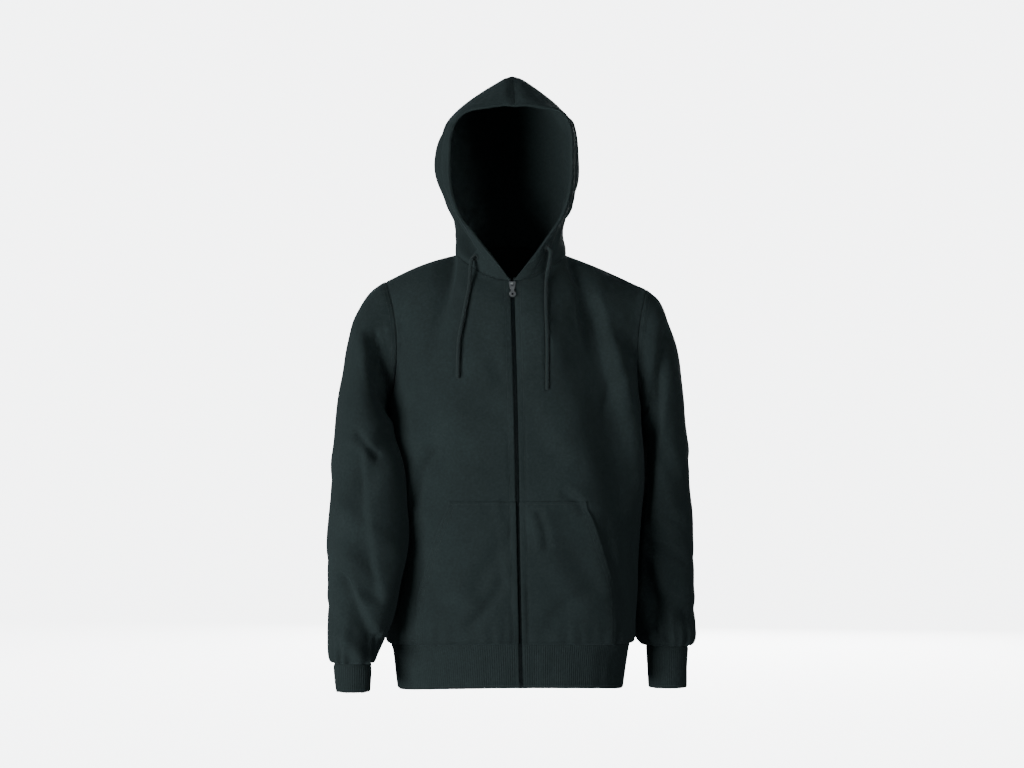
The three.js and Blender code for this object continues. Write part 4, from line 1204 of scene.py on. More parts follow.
def grid_mesh(name, points, uv, flip=False, closed=False, free=()):
    """A grid of faces laid over the points, with its own UV map, and its free edges marked."""
    rows, columns = points.shape[:2]
    bm = bmesh.new()
    bmesh.ops.create_grid(bm, x_segments=columns - 1, y_segments=rows - 1, size=0.5)
    if flip:
        bmesh.ops.reverse_faces(bm, faces=bm.faces)
    mesh = bpy.data.meshes.new(name)
    bm.to_mesh(mesh)
    bm.free()
    flat = np.zeros(len(mesh.vertices) * 3)
    mesh.vertices.foreach_get("co", flat)
    flat = flat.reshape(-1, 3)
    i = np.rint((flat[:, 1] + 0.5) * (rows - 1)).astype(int)
    j = np.rint((flat[:, 0] + 0.5) * (columns - 1)).astype(int)
    mesh.vertices.foreach_set("co", (points[i, j] * MM).ravel())
    corners = np.zeros(len(mesh.loops), int)
    mesh.loops.foreach_get("vertex_index", corners)
    layer = mesh.uv_layers.new(name="cloth")
    layer.data.foreach_set("uv", (uv[i, j][corners] * MM).ravel())
    ends = np.zeros(len(mesh.edges) * 2, int)
    mesh.edges.foreach_get("vertices", ends)
    lines = {"bottom": i == 0, "top": i == rows - 1, "first": j == 0, "last": j == columns - 1}
    marked = np.zeros(len(mesh.edges), bool)
    for edge in free:
        marked |= lines[edge][ends].reshape(-1, 2).all(axis=1)
    weights = mesh.attributes.new("bevel_weight_edge", "FLOAT", "EDGE")
    weights.data.foreach_set("value", marked.astype(float))
    if closed:
        bm = bmesh.new()
        bm.from_mesh(mesh)
        bmesh.ops.remove_doubles(bm, verts=bm.verts, dist=1e-5)
        bm.to_mesh(mesh)
        bm.free()
    mesh.update()
    return mesh


def sheet_uv(sheet):
    return np.stack([sheet.over, sheet.up], axis=2)


def round_edges(piece, width, segments=2, angle=None):
    """Rounds a piece's edges over an angle, or those marked as free where none is given."""
    bevel = piece.modifiers.new("round_edges", "BEVEL")
    bevel.width = width * MM
    bevel.segments = segments
    bevel.limit_method = "ANGLE" if angle else "WEIGHT"
    if angle:
        bevel.angle_limit = math.radians(angle)


SEAM_ALLOWANCE = 3.0


def turn_in(sheet, free, thick):
    """Adds the narrow strip of cloth that turns in at each sewn edge."""
    points, uv, ways = sheet.points, sheet_uv(sheet), sheet.ways
    for edge in ("bottom", "top") if sheet.closed else EDGES:
        if edge in free:
            continue
        axis = 0 if edge in ("bottom", "top") else 1
        low = edge in ("bottom", "first")
        pad = [(0, 0), (0, 0)]
        pad[axis] = (1, 0) if low else (0, 1)
        points = np.pad(points, [*pad, (0, 0)], "edge")
        ways = np.pad(ways, [*pad, (0, 0)], "edge")
        uv = np.pad(uv, [*pad, (0, 0)], "edge")
        thick = None if thick is None else np.pad(thick, pad, "edge")
        line = EDGES[edge]
        points[line] -= ways[line] * SEAM_ALLOWANCE
        uv[line][:, 1 - axis] += -SEAM_ALLOWANCE if low else SEAM_ALLOWANCE
    return points, uv, thick


def sew_sheet(sheet, thickness, look, free, thick=None):
    """Makes a sheet into cloth with its wall inwards; thick is each point's share of it."""
    points, uv, thick = turn_in(sheet, free, thick)
    mesh = grid_mesh(sheet.name, points, uv, sheet.flip, sheet.closed, free)
    piece = add_piece(sheet.name + "_cloth", mesh, look)
    wall = piece.modifiers.new("wall", "SOLIDIFY")
    wall.thickness = thickness * MM
    wall.offset = -1
    wall.use_quality_normals = True
    if thick is not None:
        group = piece.vertex_groups.new(name="wall")
        flat = thick.ravel()
        for index, share in enumerate(flat):
            group.add([index], float(share), "REPLACE")
        wall.vertex_group = "wall"
    round_edges(piece, 0.7)
    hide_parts(sheet.name)
    return piece


# Stitches: one small rounded length of thread, laid end to end along a line
STITCH_LENGTH = 3.0
STITCH_PITCH = 3.7
THREAD_RADIUS = 0.28


def template(make):
    """The points and faces of a small shape that is repeated."""
    bm = bmesh.new()
    make(bm)
    bm.verts.index_update()
    points = np.array([v.co for v in bm.verts])
    faces = [[v.index for v in face.verts] for face in bm.faces]
    bm.free()
    return points, faces


STITCH = template(
    lambda bm: bmesh.ops.create_uvsphere(
        bm, u_segments=5, v_segments=3, radius=1, matrix=Matrix.Rotation(math.pi / 2, 4, "Y")
    )
)


def repeat_shape(name, shape, places):
    """One mesh of a shape at each place: a row of origins and three axes."""
    points, faces = shape
    origins, first, second, third = (np.array(part) for part in zip(*places))
    all_points = (
        origins[:, None]
        + points[None, :, :1] * first[:, None]
        + points[None, :, 1:2] * second[:, None]
        + points[None, :, 2:] * third[:, None]
    ).reshape(-1, 3)
    all_faces = []
    for k in range(len(origins)):
        start = k * len(points)
        all_faces.extend([start + v for v in face] for face in faces)
    mesh = bpy.data.meshes.new(name)
    mesh.from_pydata((all_points * MM).tolist(), [], all_faces)
    mesh.update()
    return mesh


def stitch_places(line, normals, length=STITCH_LENGTH, pitch=STITCH_PITCH, radius=THREAD_RADIUS):
    """Where each stitch of a line lies, half sunk into the cloth."""
    steps = np.linalg.norm(np.diff(line, axis=0), axis=1)
    at = np.concatenate([[0], np.cumsum(steps)])
    count = int(at[-1] // pitch)
    places = []
    for k in range(count):
        centre = (k + 0.5) * pitch
        low, middle, high = (
            np.array([np.interp(centre + d, at, line[:, c]) for c in range(3)])
            for d in (-length / 2, 0, length / 2)
        )
        out = unit(np.array([np.interp(centre, at, normals[:, c]) for c in range(3)]))
        way = unit(high - low)
        aside = unit(np.cross(out, way))
        out = np.cross(way, aside)
        places.append((middle + out * radius * 0.35, way * length / 2, aside * radius, out * radius))
    return places


# Ribs stand up from the band and run across it
RIB_HEIGHT = 0.36
RIB_POINTS = 6
RIB_PITCH = 3.6

# The garment's sheets
SHEET_STEP = 4.0
HOOD_STEP = 3.4
trunk = {name: trunk_grids(name) for name in SIDES}
fronts_drawn = {name: trunk[name][0] for name in SIDES}
back_drawn = np.concatenate([trunk["right"][1][:, :0:-1], trunk["left"][1]], axis=1)
sleeves_drawn = {name: sleeve_grid(name) for name in SIDES}

CHEST_ROW = len(TRUNK_HEIGHTS)
BACK_CENTRE = BACK_NECK_COLUMNS + SHOULDER_COLUMNS
FRONT_LAST = FRONT_NECK_COLUMNS + SHOULDER_COLUMNS
HOOD_LAST = FRONT_NECK_COLUMNS + BACK_NECK_COLUMNS
BAND_CENTRE = FRONT_LAST + BACK_CENTRE
hoods_drawn = {name: hood_grid(name) for name in SIDES}
band_drawn = waistband_grid(fronts_drawn, back_drawn)


def on_curve(points, params, closed=False):
    return curve_weights(params, len(points), closed) @ points


def top_target(side_name, places, neck_columns, from_front):
    """The seam line of a top edge: the hood's lower edge, then the shoulder seam."""
    top = np.array(top_line(side_name, from_front))
    hood_places = places if from_front else HOOD_LAST - places
    neck = on_curve(hoods_drawn[side_name][0], np.clip(hood_places, 0, HOOD_LAST))
    shoulder = on_curve(
        top[neck_columns:], np.clip(places - neck_columns, 0, SHOULDER_COLUMNS)
    )
    return np.where((places <= neck_columns)[:, None], neck, shoulder)


def side_target(side_name, drawn, rows, direction):
    """The side seam up to the armpit, then the armhole."""
    side_seam = on_curve(drawn[: CHEST_ROW + 1], np.clip(rows, 0, CHEST_ROW))
    around = direction * np.maximum(rows - CHEST_ROW, 0)
    armhole = on_curve(sleeves_drawn[side_name][0], around % (2 * ARMHOLE_ROWS), closed=True)
    return np.where((rows <= CHEST_ROW)[:, None], side_seam, armhole)


def join_front(side_name, sheet):
    drawn = fronts_drawn[side_name]
    match_edge(sheet, "last", side_target(side_name, drawn[:, -1], sheet.rows, 1))
    match_edge(sheet, "top", top_target(side_name, sheet.columns, FRONT_NECK_COLUMNS, True))
    band_places = sheet.columns if side_name == "left" else 2 * BAND_CENTRE - sheet.columns
    match_edge(sheet, "bottom", on_curve(band_drawn[-1], band_places))


def join_back(sheet):
    match_edge(sheet, "last", side_target("left", back_drawn[:, -1], sheet.rows, -1))
    match_edge(sheet, "first", side_target("right", back_drawn[:, 0], sheet.rows, -1))
    out = sheet.columns - BACK_CENTRE
    left = top_target("left", np.maximum(out, 0), BACK_NECK_COLUMNS, False)
    right = top_target("right", np.maximum(-out, 0), BACK_NECK_COLUMNS, False)
    match_edge(sheet, "top", np.where((out > 0)[:, None], left, right))
    match_edge(sheet, "bottom", on_curve(band_drawn[-1], BAND_CENTRE - out))


BRIM_DROP = 11.0
BRIM_ROWS = (11.0, 14.5)
UNDERARM_Z = -270
UNDERARM_PRESS = 8.0


def drop_brim(sheet):
    """The brim's own weight draws the top of the rim down over the brow."""
    high = smooth(sheet.rows, *BRIM_ROWS)[:, None]
    near = 1 - smooth(sheet.first, 0, 62)
    sheet.base = sheet.base - vec(0, 0.12, 1) * (BRIM_DROP * high * near)[..., None]


def press_underarm(sheet, side):
    """A sleeve lies on the body's side just under the arm."""
    columns = np.minimum(sheet.columns, 2 * ARMHOLE_ROWS - sheet.columns)
    inner = hump(columns, 4.5)[None]
    low = hump(sheet.base[..., 2] - UNDERARM_Z, 17) * smooth(sheet.bottom, 0, 10)
    sheet.base = sheet.base - vec(side, 0, 0) * (UNDERARM_PRESS * inner * low)[..., None]


def cut_sheets():
    cut = {}
    for name, side in SIDES.items():
        cut[f"front_{name}"] = make_sheet(
            f"front_{name}", fronts_drawn[name], SHEET_STEP, flip=side < 0
        )
        join_front(name, cut[f"front_{name}"])
        cut[f"sleeve_{name}"] = make_sheet(
            f"sleeve_{name}", sleeves_drawn[name], SHEET_STEP, flip=side > 0, closed=True
        )
        press_underarm(cut[f"sleeve_{name}"], side)
        cut[f"cuff_{name}"] = cut_band(
            f"cuff_{name}", cuff_grid(name, sleeves_drawn[name]), side > 0, True, 5
        )
        cut[f"hood_{name}"] = make_sheet(
            f"hood_{name}", hoods_drawn[name], HOOD_STEP, flip=side < 0
        )
        drop_brim(cut[f"hood_{name}"])
    cut["back"] = make_sheet("back", back_drawn, SHEET_STEP, flip=True)
    join_back(cut["back"])
    cut["waistband"] = cut_band("waistband", band_drawn, False, False, 6)
    share_seams(cut)
    return cut


def cut_band(name, drawn, flip, closed, row_step):
    """A ribbed band, with its lines across laid to the ribs."""
    around = mean_travel(drawn.swapaxes(0, 1), closed)[-1]
    ribs = round(around / RIB_PITCH)
    sheet = make_sheet(
        name, drawn, row_step, flip, closed,
        across=around / (ribs * RIB_POINTS), edges=(True, True, False, False),
    )
    sheet.ribs = ribs
    return sheet


stitch_lines = {}


def sew_line(group, line, normals):
    stitch_lines.setdefault(group, []).extend(stitch_places(line, normals))


def make_front(side_name):
    side = SIDES[side_name]
    sheet = sheets[f"front_{side_name}"]
    inside = off_edges(sheet, "bottom", "top", "first", "last")
    shape = (fold_push(sheet) + waves(sheet.base)) * inside
    shape += gathers(sheet.bottom, sheet.over, 1.3, 11, 25, side) * off_edges(sheet, "first")
    shape += blouse(sheet.bottom, 2.2, 6) * smooth(sheet.first, 2, 30)
    shape += seam_dips(sheet, "bottom", "last", "top")
    shape += stitched(sheet.first, sheet.up, ZIP_STITCH, side, depth=0.8, pitch=17, pucker=0.3)
    shape += stitched(sheet.bottom, sheet.over, TWIN_NEAR, side, pucker=0.15)
    shape += stitched(sheet.bottom, sheet.over, TWIN_FAR, side, depth=0.9, pucker=0.15)
    shape -= 0.5 * hump(sheet.first, 0.9)
    push(sheet, shape)
    make_room_for_cords(sheet)
    sew_line(sheet.name, *along_edge(sheet, "first", ZIP_STITCH, 2, 3))
    for inset in (TWIN_NEAR, TWIN_FAR):
        sew_line(sheet.name, *along_edge(sheet, "bottom", inset, 9, 1))
    sew_sheet(sheet, CLOTH, "fleece", ("first",))


def make_back():
    sheet = sheets["back"]
    inside = off_edges(sheet, "bottom", "top", "first", "last")
    shape = (fold_push(sheet) + waves(sheet.base)) * inside
    shape += gathers(sheet.bottom, sheet.over, 1.5, 12, 27, 2.1) + blouse(sheet.bottom, 2.2, 6)
    shape += seam_dips(sheet, "bottom", "last", "first", "top")
    for inset in (TWIN_NEAR, TWIN_FAR):
        shape += stitched(sheet.bottom, sheet.over, inset, 1.1, pucker=0.15)
        shape += stitched(sheet.top, sheet.over, inset, 2.3, pucker=0.12)
    push(sheet, shape)
    for inset in (TWIN_NEAR, TWIN_FAR):
        sew_line("back", *along_edge(sheet, "bottom", inset, 1, 1))
        sew_line("back", *along_edge(sheet, "top", inset, 6, 6))
    sew_sheet(sheet, CLOTH, "fleece", ())


def make_sleeve(side_name):
    side = SIDES[side_name]
    sheet = sheets[f"sleeve_{side_name}"]
    inside = off_edges(sheet, "bottom", "top")
    shape = (fold_push(sheet) + waves(sheet.base)) * inside
    ring = sheet.over / sheet.over[:, -1:] * 360
    shape += gathers(sheet.top, ring, 2.6, 15, 360 / 15, side) * smooth(sheet.top, 0, 4)
    shape += blouse(sheet.top, 3.0, 7)
    shape += gathers(sheet.bottom, ring, 0.5, 12, 360 / 19, side)
    head = sheet.columns - ARMHOLE_ROWS
    shape += 3 * hump(head, 4.5)[None] * sheet.bottom / 18 * np.exp(1 - sheet.bottom / 18)
    shape += seam_dips(sheet, "bottom", "top")
    for inset in (TWIN_NEAR, TWIN_FAR):
        shape += stitched(sheet.bottom, sheet.over, inset, side, pucker=0.12)
    push(sheet, shape)
    for inset in (TWIN_NEAR, TWIN_FAR):
        sew_line(sheet.name, *along_edge(sheet, "bottom", inset))
    sew_line(sheet.name, *along_edge(sheet, "top", TWIN_NEAR))
    sew_sheet(sheet, CLOTH, "fleece", ())


def rib_relief(sheet):
    share = sheet.over / sheet.over[:, -1:]
    return RIB_HEIGHT * np.cos(share * sheet.ribs * 2 * math.pi)


def make_band(name, open_edge):
    """A ribbed band; its ribs fade at its seam, and it turns under at its open edge."""
    sheet = sheets[name]
    sewn_edge = "top" if open_edge == "bottom" else "bottom"
    off_seam = getattr(sheet, sewn_edge)
    shape = rib_relief(sheet) * smooth(off_seam, 0, 6)
    shape += waves(sheet.base) * 0.5 * smooth(off_seam, 0, OFF_SEAM)
    shape += seam_dips(sheet, sewn_edge) - 1.1 * hump(getattr(sheet, open_edge), 1.6)
    ring = sheet.over / sheet.over[:, -1:] * (960 if name == "waistband" else 280)
    shape += 0.5 * ripple(ring, 32 if name == "waistband" else 35) * smooth(off_seam, 0, 25)
    if not sheet.closed:
        shape *= smooth(sheet.first, 0, 3) * smooth(sheet.last, 0, 3)
        shape -= 0.5 * hump(sheet.first, 0.9) + 0.5 * hump(sheet.last, 0.9)
    push(sheet, shape)
    sew_sheet(sheet, RIB, "rib", (open_edge,) if sheet.closed else (open_edge, "first", "last"))


CROWN_ROUNDING = 3.0


def make_hood(side_name):
    side = SIDES[side_name]
    sheet = sheets[f"hood_{side_name}"]
    inside = off_edges(sheet, "bottom", "top", "first", "last")
    centre = hood_point(side, *EYELET_PLACES[side_name])
    off_eyelet = smooth(np.linalg.norm(sheet.base - centre, axis=2), 7, 17)
    shape = (fold_push(sheet) + waves(sheet.base)) * inside * off_eyelet
    shape += seam_dips(sheet, "bottom", "top", "last")
    casing = smooth(sheet.first, 1.5, 7) * (1 - smooth(sheet.first, HOOD_HEM - 5, HOOD_HEM))
    shape += casing * 1.1 * off_eyelet
    shape += stitched(sheet.first, sheet.up, HOOD_HEM, side, depth=0.6, pucker=0.4) * off_eyelet
    shape += 0.35 * ripple(sheet.up, 21, side) * casing * off_eyelet
    for inset in (TWIN_NEAR, TWIN_FAR):
        shape += stitched(sheet.last, sheet.up, inset, side, pucker=0.1)
        shape += stitched(sheet.top, sheet.over, inset, side, pucker=0.1)
    shape -= 0.6 * hump(sheet.first, 1.2) + CROWN_ROUNDING * hump(sheet.top, 11)
    push(sheet, shape)
    make_room_for_cords(sheet)
    sew_line(sheet.name, *along_edge(sheet, "first", HOOD_HEM, 1, 1))
    sew_line(sheet.name, *along_edge(sheet, "last", TWIN_NEAR, 1, 6))
    sew_line(sheet.name, *along_edge(sheet, "top", TWIN_NEAR, 1, 6))
    thick = 0.5 + 0.5 * (1 - smooth(sheet.first, HOOD_HEM - 3, HOOD_HEM))
    sew_sheet(sheet, 2 * CLOTH, "fleece", ("first",), thick)


def make_pocket(side_name, front):
    """Half of the pouch: it lies on the front's own shape and stands a little off its mouth."""
    side = SIDES[side_name]
    rows = len(TRUNK_HEIGHTS[: TRUNK_HEIGHTS.index(POCKET_TOP_Z) + 1]) - 1
    top = float(np.interp(rows, front.rows, np.arange(len(front.rows))))
    outer = float(np.interp(FRONT_NECK_COLUMNS, front.columns, np.arange(len(front.columns))))
    height = np.interp(top, np.arange(len(front.rows)), front.up.mean(axis=1))
    width = np.interp(outer, np.arange(len(front.columns)), front.over[: int(top)].mean(axis=0))
    row_places = np.interp(
        spread(height, SHEET_STEP), front.up.mean(axis=1), np.arange(len(front.rows))
    )
    column_places = np.interp(
        spread(width, SHEET_STEP),
        front.over[: int(top)].mean(axis=0),
        np.arange(len(front.columns)),
    )
    points = bilinear(front.points, row_places, column_places)
    normals = unit(bilinear(front.normals, row_places, column_places))
    sheet = SimpleNamespace(
        name=f"pocket_{side_name}", flip=side < 0, closed=False, base=points,
        points=points, normals=normals, ways=normals,
    )
    sheet.over, sheet.up = travel(points, 1), travel(points, 0)
    sheet.bottom, sheet.top = sheet.up, sheet.up[-1:] - sheet.up
    sheet.first, sheet.last = sheet.over, sheet.over[:, -1:] - sheet.over
    up_share = sheet.up / sheet.up[-1:]
    mouth = smooth(up_share, 0.36, 0.52) * (1 - smooth(up_share, 0.9, 1))
    shape = np.full(points.shape[:2], SEAM_GAP + POCKET_CLOTH)
    shape += 2.0 * mouth * np.exp(-sheet.last / 26)
    shape += 0.5 * waves(points[..., [1, 0, 2]]) * off_edges(sheet, "bottom", "top", "first")
    shape += stitched(sheet.last, sheet.up, POCKET_STITCH, side, pucker=0.2)
    shape += stitched(sheet.last, sheet.up, POCKET_STITCH_FAR, side, pucker=0.2)
    shape += stitched(sheet.top, sheet.over, POCKET_STITCH, side, pucker=0.25)
    shape += stitched(sheet.first, sheet.up, ZIP_STITCH, side, pucker=0.1)
    shape -= 0.7 * hump(sheet.last, 1.0) + 0.7 * hump(sheet.top, 1.0)
    push(sheet, shape)
    for edge, inset in (
        ("last", POCKET_STITCH), ("last", POCKET_STITCH_FAR), ("top", POCKET_STITCH),
        ("first", ZIP_STITCH),
    ):
        sew_line(sheet.name, *along_edge(sheet, edge, inset, 5, 5))
    sew_sheet(sheet, POCKET_CLOTH, "fleece", ("first", "last", "top", "bottom"))
    return sheet


sheets = cut_sheets()
for side_name in SIDES:
    make_front(side_name)
    make_sleeve(side_name)
    make_band(f"cuff_{side_name}", "top")
    make_hood(side_name)
    sheets[f"pocket_{side_name}"] = make_pocket(side_name, sheets[f"front_{side_name}"])
make_back()
make_band("waistband", "bottom")

for piece_name, places in stitch_lines.items():
    mesh = repeat_shape(f"{piece_name}_stitches", STITCH, places)
    add_piece(f"{piece_name}_stitches", mesh, "thread")


# Drawcord ends: a braided tube with a rounded, sealed tip
CORD_TURN_POINTS = 32
CORD_STEP = 0.9
CORD_STRANDS = 8
BRAID_TURN = 22.0
BRAID_HEIGHT = 0.24


def frames_along(line):
    """Directions across a line that don't twist as it goes."""
    ways = unit(np.gradient(line, axis=0))
    aside = unit(np.cross(ways[0], vec(1, 0, 0.3)))
    asides = []
    for way in ways:
        aside = unit(aside - way * (aside @ way))
        asides.append(aside)
    asides = np.array(asides)
    return ways, asides, np.cross(ways, asides)


def resample(line, step):
    steps = np.linalg.norm(np.diff(line, axis=0), axis=1)
    at = np.concatenate([[0], np.cumsum(steps)])
    count = round(at[-1] / step)
    places = np.linspace(0, at[-1], count + 1)
    return np.stack([np.interp(places, at, line[:, c]) for c in range(3)], axis=1), places


def make_cord(side_name):
    line, places = resample(CORD_LINES[side_name], CORD_STEP)
    ways, asides, ups = frames_along(line)
    length = places[-1]
    turns = np.linspace(0, 2 * math.pi, CORD_TURN_POINTS + 1)
    twist = places[:, None] * 2 * math.pi / BRAID_TURN
    strand = CORD_STRANDS / 2
    one = np.cos(strand * (turns[None] + twist))
    other = np.cos(strand * (turns[None] - twist))
    radius = CORD_RADIUS - BRAID_HEIGHT + BRAID_HEIGHT * np.maximum(one, other)
    to_end = length - places
    tip = np.sqrt(np.clip(1 - (1 - np.minimum(to_end / CORD_RADIUS, 1)) ** 2, 0, 1))
    radius = radius * np.maximum(tip, 0.02)[:, None]
    points = line[:, None] + radius[..., None] * (
        asides[:, None] * np.cos(turns)[None, :, None] + ups[:, None] * np.sin(turns)[None, :, None]
    )
    uv = np.stack(
        [
            np.broadcast_to(turns * CORD_RADIUS, radius.shape),
            np.broadcast_to(places[:, None], radius.shape),
        ],
        axis=2,
    )
    mesh = grid_mesh(f"drawcord_{side_name}_braid", points, uv, flip=True, closed=True)
    bm = bmesh.new()
    bm.from_mesh(mesh)
    bmesh.ops.holes_fill(bm, edges=[e for e in bm.edges if e.is_boundary], sides=0)
    bmesh.ops.recalc_face_normals(bm, faces=bm.faces)
    bm.to_mesh(mesh)
    bm.free()
    piece = add_piece(f"drawcord_{side_name}_braid", mesh, "cord")
    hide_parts(f"drawcord_{side_name}")
    return length


for side_name in SIDES:
    print("drawcord", side_name, "mm", round(make_cord(side_name), 1))


# Eyelets: a ring bound with thread
EYELET_STITCHES = 30


def make_eyelet(side_name):
    side = SIDES[side_name]
    height, along = EYELET_PLACES[side_name]
    place = hood_point(side, height, along)
    over = hood_point(side, height, along + EYELET["nudge"]) - place
    up = hood_point(side, height + EYELET["nudge"], along) - place
    out = unit(np.cross(over, up)) * side
    aside = unit(np.cross(up, out))
    up = np.cross(out, aside)
    centre = place + out * (EYELET["lift"] + EYELET["thickness"] * 0.35)
    middle = (EYELET["outer"] + EYELET["inner"]) / 2
    bm = bmesh.new()
    ring = bmesh.ops.create_circle(
        bm, segments=10, radius=(EYELET["outer"] - EYELET["inner"]) / 2,
        matrix=Matrix.Translation((middle, 0, 0)) @ Matrix.Rotation(math.pi / 2, 4, "X"),
    )["verts"]
    edges = list({edge for vert in ring for edge in vert.link_edges})
    bmesh.ops.spin(
        bm, geom=ring + edges, cent=(0, 0, 0), axis=(0, 0, 1), angle=2 * math.pi, steps=48,
        use_merge=True,
    )
    bmesh.ops.recalc_face_normals(bm, faces=bm.faces)
    turn = Matrix((
        *((aside[c], up[c], out[c], centre[c]) for c in range(3)),
        (0, 0, 0, 1),
    ))
    bmesh.ops.scale(bm, vec=(1, 1, 0.62), verts=bm.verts)
    bmesh.ops.transform(bm, matrix=turn, verts=bm.verts)
    bmesh.ops.scale(bm, vec=(MM,) * 3, verts=bm.verts)
    mesh = bpy.data.meshes.new(f"eyelet_{side_name}_ring")
    bm.to_mesh(mesh)
    bm.free()
    ring_piece = add_piece(f"eyelet_{side_name}_ring", mesh, "thread")
    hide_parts(f"eyelet_{side_name}")
    places = []
    for k in range(EYELET_STITCHES):
        turn_angle = 2 * math.pi * k / EYELET_STITCHES
        way = aside * math.cos(turn_angle) + up * math.sin(turn_angle)
        sideways = np.cross(out, way)
        at = centre + way * middle + out * 0.62
        places.append((at, way * 1.5, sideways * 0.42, out * 0.34))
    stitches = repeat_shape(f"eyelet_{side_name}_thread", STITCH, places)
    add_piece(f"eyelet_{side_name}_thread", stitches, "thread")


for side_name in SIDES:
    make_eyelet(side_name)


# Zip: teeth down the line between the fronts, over the tapes
TOOTH_PITCH = 2.3
TOOTH_LENGTH = 3.0
TOOTH_HEIGHT = 1.35
TOOTH_DEPTH = 1.5
TOOTH_SHIFT = 1.05
TOOTH_SINK = 1.65
ABOVE_BOX = 1.2
BELOW_SLIDER = 0.5
# The strip that the teeth stand on: its width, how far each part runs under the next, its
# thickness and how deep it lies
CORE_LENGTH = 6.0
CORE_WIDTH = 1.9
CORE_LAP = 0.4
CORE_DEPTH = 0.5
CORE_SINK = 2.45


def zip_path():
    """The zip's middle line and the way out of it, from the hem to under the slider."""
    left, right = (
        np.concatenate([band, front])
        for band, front in (
            (sheets["waistband"].base[:-1, 0], sheets["front_left"].base[:, 0]),
            (sheets["waistband"].base[:-1, -1], sheets["front_right"].base[:, 0]),
        )
    )
    centres = []
    heights = np.linspace(left[0, 2], left[-1, 2], 320)
    for z in heights:
        pair = [
            np.array([np.interp(z, edge[:, 2], edge[:, c]) for c in range(3)])
            for edge in (left, right)
        ]
        centres.append((pair[0] + pair[1]) / 2)
    centres = np.array(centres)
    ways = unit(np.gradient(centres, axis=0))
    outs = unit(np.cross(vec(1, 0, 0), ways))
    return centres, outs


zip_centres, zip_outs = zip_path()
slider_low, slider_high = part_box("zip_slider")
box_low, box_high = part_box("zip_box")


def make_teeth():
    def tooth(bm):
        bmesh.ops.create_cube(bm, size=1)
        side_faces = [f for f in bm.faces if abs(f.normal.x) > 0.9 and f.normal.x > 0]
        bmesh.ops.scale(
            bm, vec=(1, 0.7, 0.6), verts=[v for f in side_faces for v in f.verts]
        )
        bmesh.ops.bevel(
            bm, geom=bm.edges[:], offset=0.09, offset_type="OFFSET", segments=1, profile=0.5,
            affect="EDGES", material=-1,
        )

    shape = template(tooth)
    low_z = box_high[2] / MM + ABOVE_BOX
    high_z = slider_low[2] / MM - BELOW_SLIDER
    heights = zip_centres[:, 2]

    def at_height(z):
        centre = np.array([np.interp(z, heights, zip_centres[:, c]) for c in range(3)])
        return centre, unit(np.array([np.interp(z, heights, zip_outs[:, c]) for c in range(3)]))

    places = []
    for k in range(int((high_z - low_z) / TOOTH_PITCH * 2)):
        centre, out = at_height(low_z + k * TOOTH_PITCH / 2)
        side = 1 if k % 2 else -1
        across = vec(-side, 0, 0)
        up = unit(np.cross(out, across))
        middle = centre + vec(side * TOOTH_SHIFT, 0, 0) - out * TOOTH_SINK
        places.append((middle, across * TOOTH_LENGTH, up * TOOTH_HEIGHT, out * TOOTH_DEPTH))
    for z in np.arange(low_z, high_z, CORE_LENGTH):
        centre, out = at_height(z)
        up = unit(np.cross(out, vec(1, 0, 0)))
        size = (vec(1, 0, 0) * CORE_WIDTH, up * (CORE_LENGTH + CORE_LAP), out * CORE_DEPTH)
        places.append((centre - out * CORE_SINK, *size))
    mesh = repeat_shape("zip_teeth", shape, places)
    piece = add_piece("zip_teeth", mesh, "teeth", smooth_faces=False)
    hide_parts("zip_chain")


def copy_of_node(name, new_name, look, bevel, body="garment", segments=2):
    """A CAD solid with its faces joined and its edges rounded."""
    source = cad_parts[name]
    bm = bmesh.new()
    bm.from_mesh(source.data)
    bmesh.ops.remove_doubles(bm, verts=bm.verts, dist=1e-5)
    bmesh.ops.dissolve_limit(
        bm, angle_limit=math.radians(2), verts=bm.verts, edges=bm.edges, delimit=set()
    )
    mesh = bpy.data.meshes.new(new_name)
    bm.to_mesh(mesh)
    bm.free()
    piece = add_piece(new_name, mesh, look, body, smooth_faces=False)
    round_edges(piece, bevel, segments, 35)
    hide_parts(name)
    return piece


make_teeth()
copy_of_node("zip_slider", "slider_body", "metal", 0.22)
copy_of_node("pull_tab", "pull", "metal", 0.22, body="pull_tab")
# The end box takes the teeth's near-black look, whose darkness is painted shadow of the zip's gap
copy_of_node("zip_box", "zip_end_box", "teeth", 0.5)
for side_name in SIDES:
    copy_of_node(f"zip_tape_{side_name}", f"tape_{side_name}", "tape", 0.1, segments=1)


# Stage: a pale floor that turns up into a pale wall all round, and soft studio light
FLOOR_Z = -1.0
STAGE_RADIUS = 6.5
STAGE_BEND = 1.5
STAGE_TOP = 5.0
PAPER_GLOW = 5.6


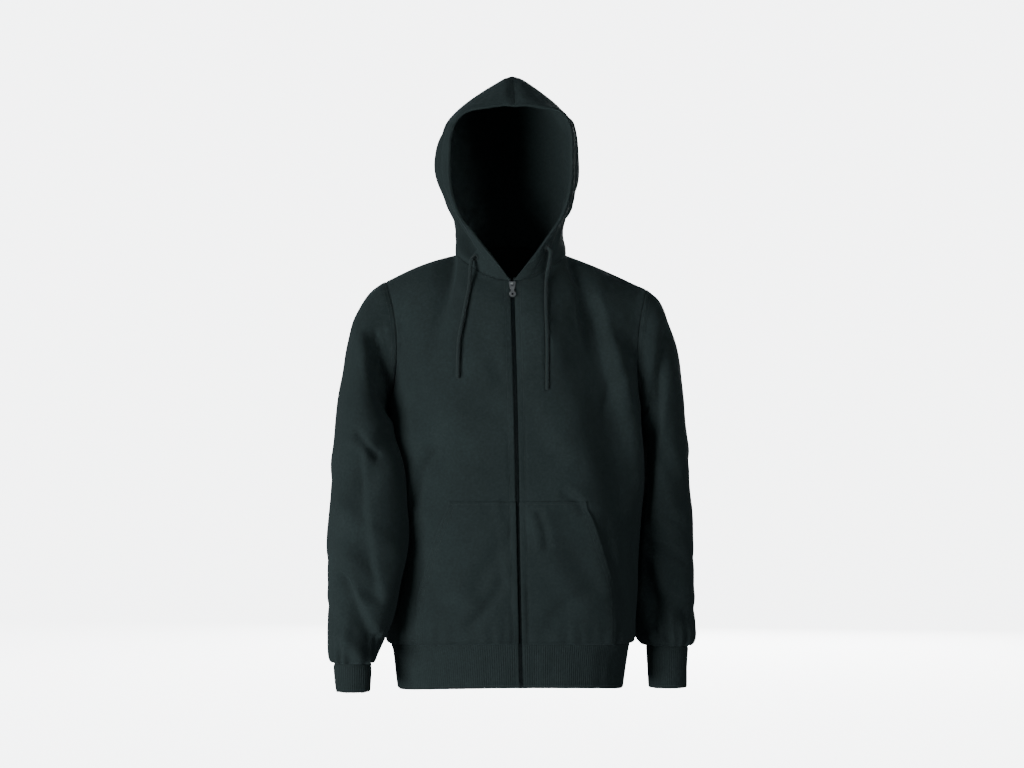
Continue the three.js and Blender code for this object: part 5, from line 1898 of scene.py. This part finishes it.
def make_stage():
    bend = [math.pi / 2 * k / 12 for k in range(13)]
    profile = [(0.01, FLOOR_Z)]
    profile += [
        (STAGE_RADIUS - STAGE_BEND * (1 - math.sin(a)), FLOOR_Z + STAGE_BEND * (1 - math.cos(a)))
        for a in bend
    ]
    profile.append((STAGE_RADIUS, STAGE_TOP))
    bm = bmesh.new()
    line = [bm.verts.new((x, 0, z)) for x, z in profile]
    edges = [bm.edges.new(pair) for pair in zip(line, line[1:])]
    bmesh.ops.spin(
        bm, geom=line + edges, cent=(0, 0, 0), axis=(0, 0, 1), angle=2 * math.pi, steps=96,
        use_merge=True,
    )
    mesh = bpy.data.meshes.new("backdrop")
    bm.to_mesh(mesh)
    bm.free()
    material, _, shader = new_material("backdrop_paper", (0.83, 0.85, 0.86), 0.9)
    shader.inputs["Emission Color"].default_value = (0.97, 0.985, 1.0, 1)
    shader.inputs["Emission Strength"].default_value = PAPER_GLOW
    mesh.materials.append(material)
    mesh.polygons.foreach_set("use_smooth", [True] * len(mesh.polygons))
    backdrop = bpy.data.objects.new("backdrop", mesh)
    bpy.context.scene.collection.objects.link(backdrop)
    backdrop.visible_diffuse = False
    backdrop.visible_glossy = False
    backdrop.visible_shadow = False


def make_light(name, place, aim, size, power, spread=180):
    data = bpy.data.lights.new(name, "AREA")
    data.shape = "RECTANGLE"
    data.size, data.size_y = size
    data.energy = power
    data.spread = math.radians(spread)
    light = bpy.data.objects.new(name, data)
    bpy.context.scene.collection.objects.link(light)
    light.location = place
    light.visible_camera = False
    light.rotation_euler = (Vector(aim) - Vector(place)).to_track_quat("-Z", "Y").to_euler()


def make_world():
    world = bpy.data.worlds.new("studio")
    bpy.context.scene.world = world
    world.use_nodes = True
    background = world.node_tree.nodes["Background"]
    background.inputs["Color"].default_value = (0.92, 0.96, 1.0, 1)
    background.inputs["Strength"].default_value = 0.17


make_stage()
make_world()
make_light("key", (-3.0, -3.1, -0.85), (0, 0, -0.3), (1.7, 1.4), 228)
make_light("into_hood", (1.7, -2.1, 0.3), (-0.08, 0, 0.16), (0.5, 0.5), 0.28, 24)
make_light("fill", (3.2, -2.8, 0.3), (0, 0, -0.2), (2.0, 2.4), 26)
make_light("behind", (0.7, 4.1, 0.5), (0, 0, -0.2), (2.2, 2.2), 210)
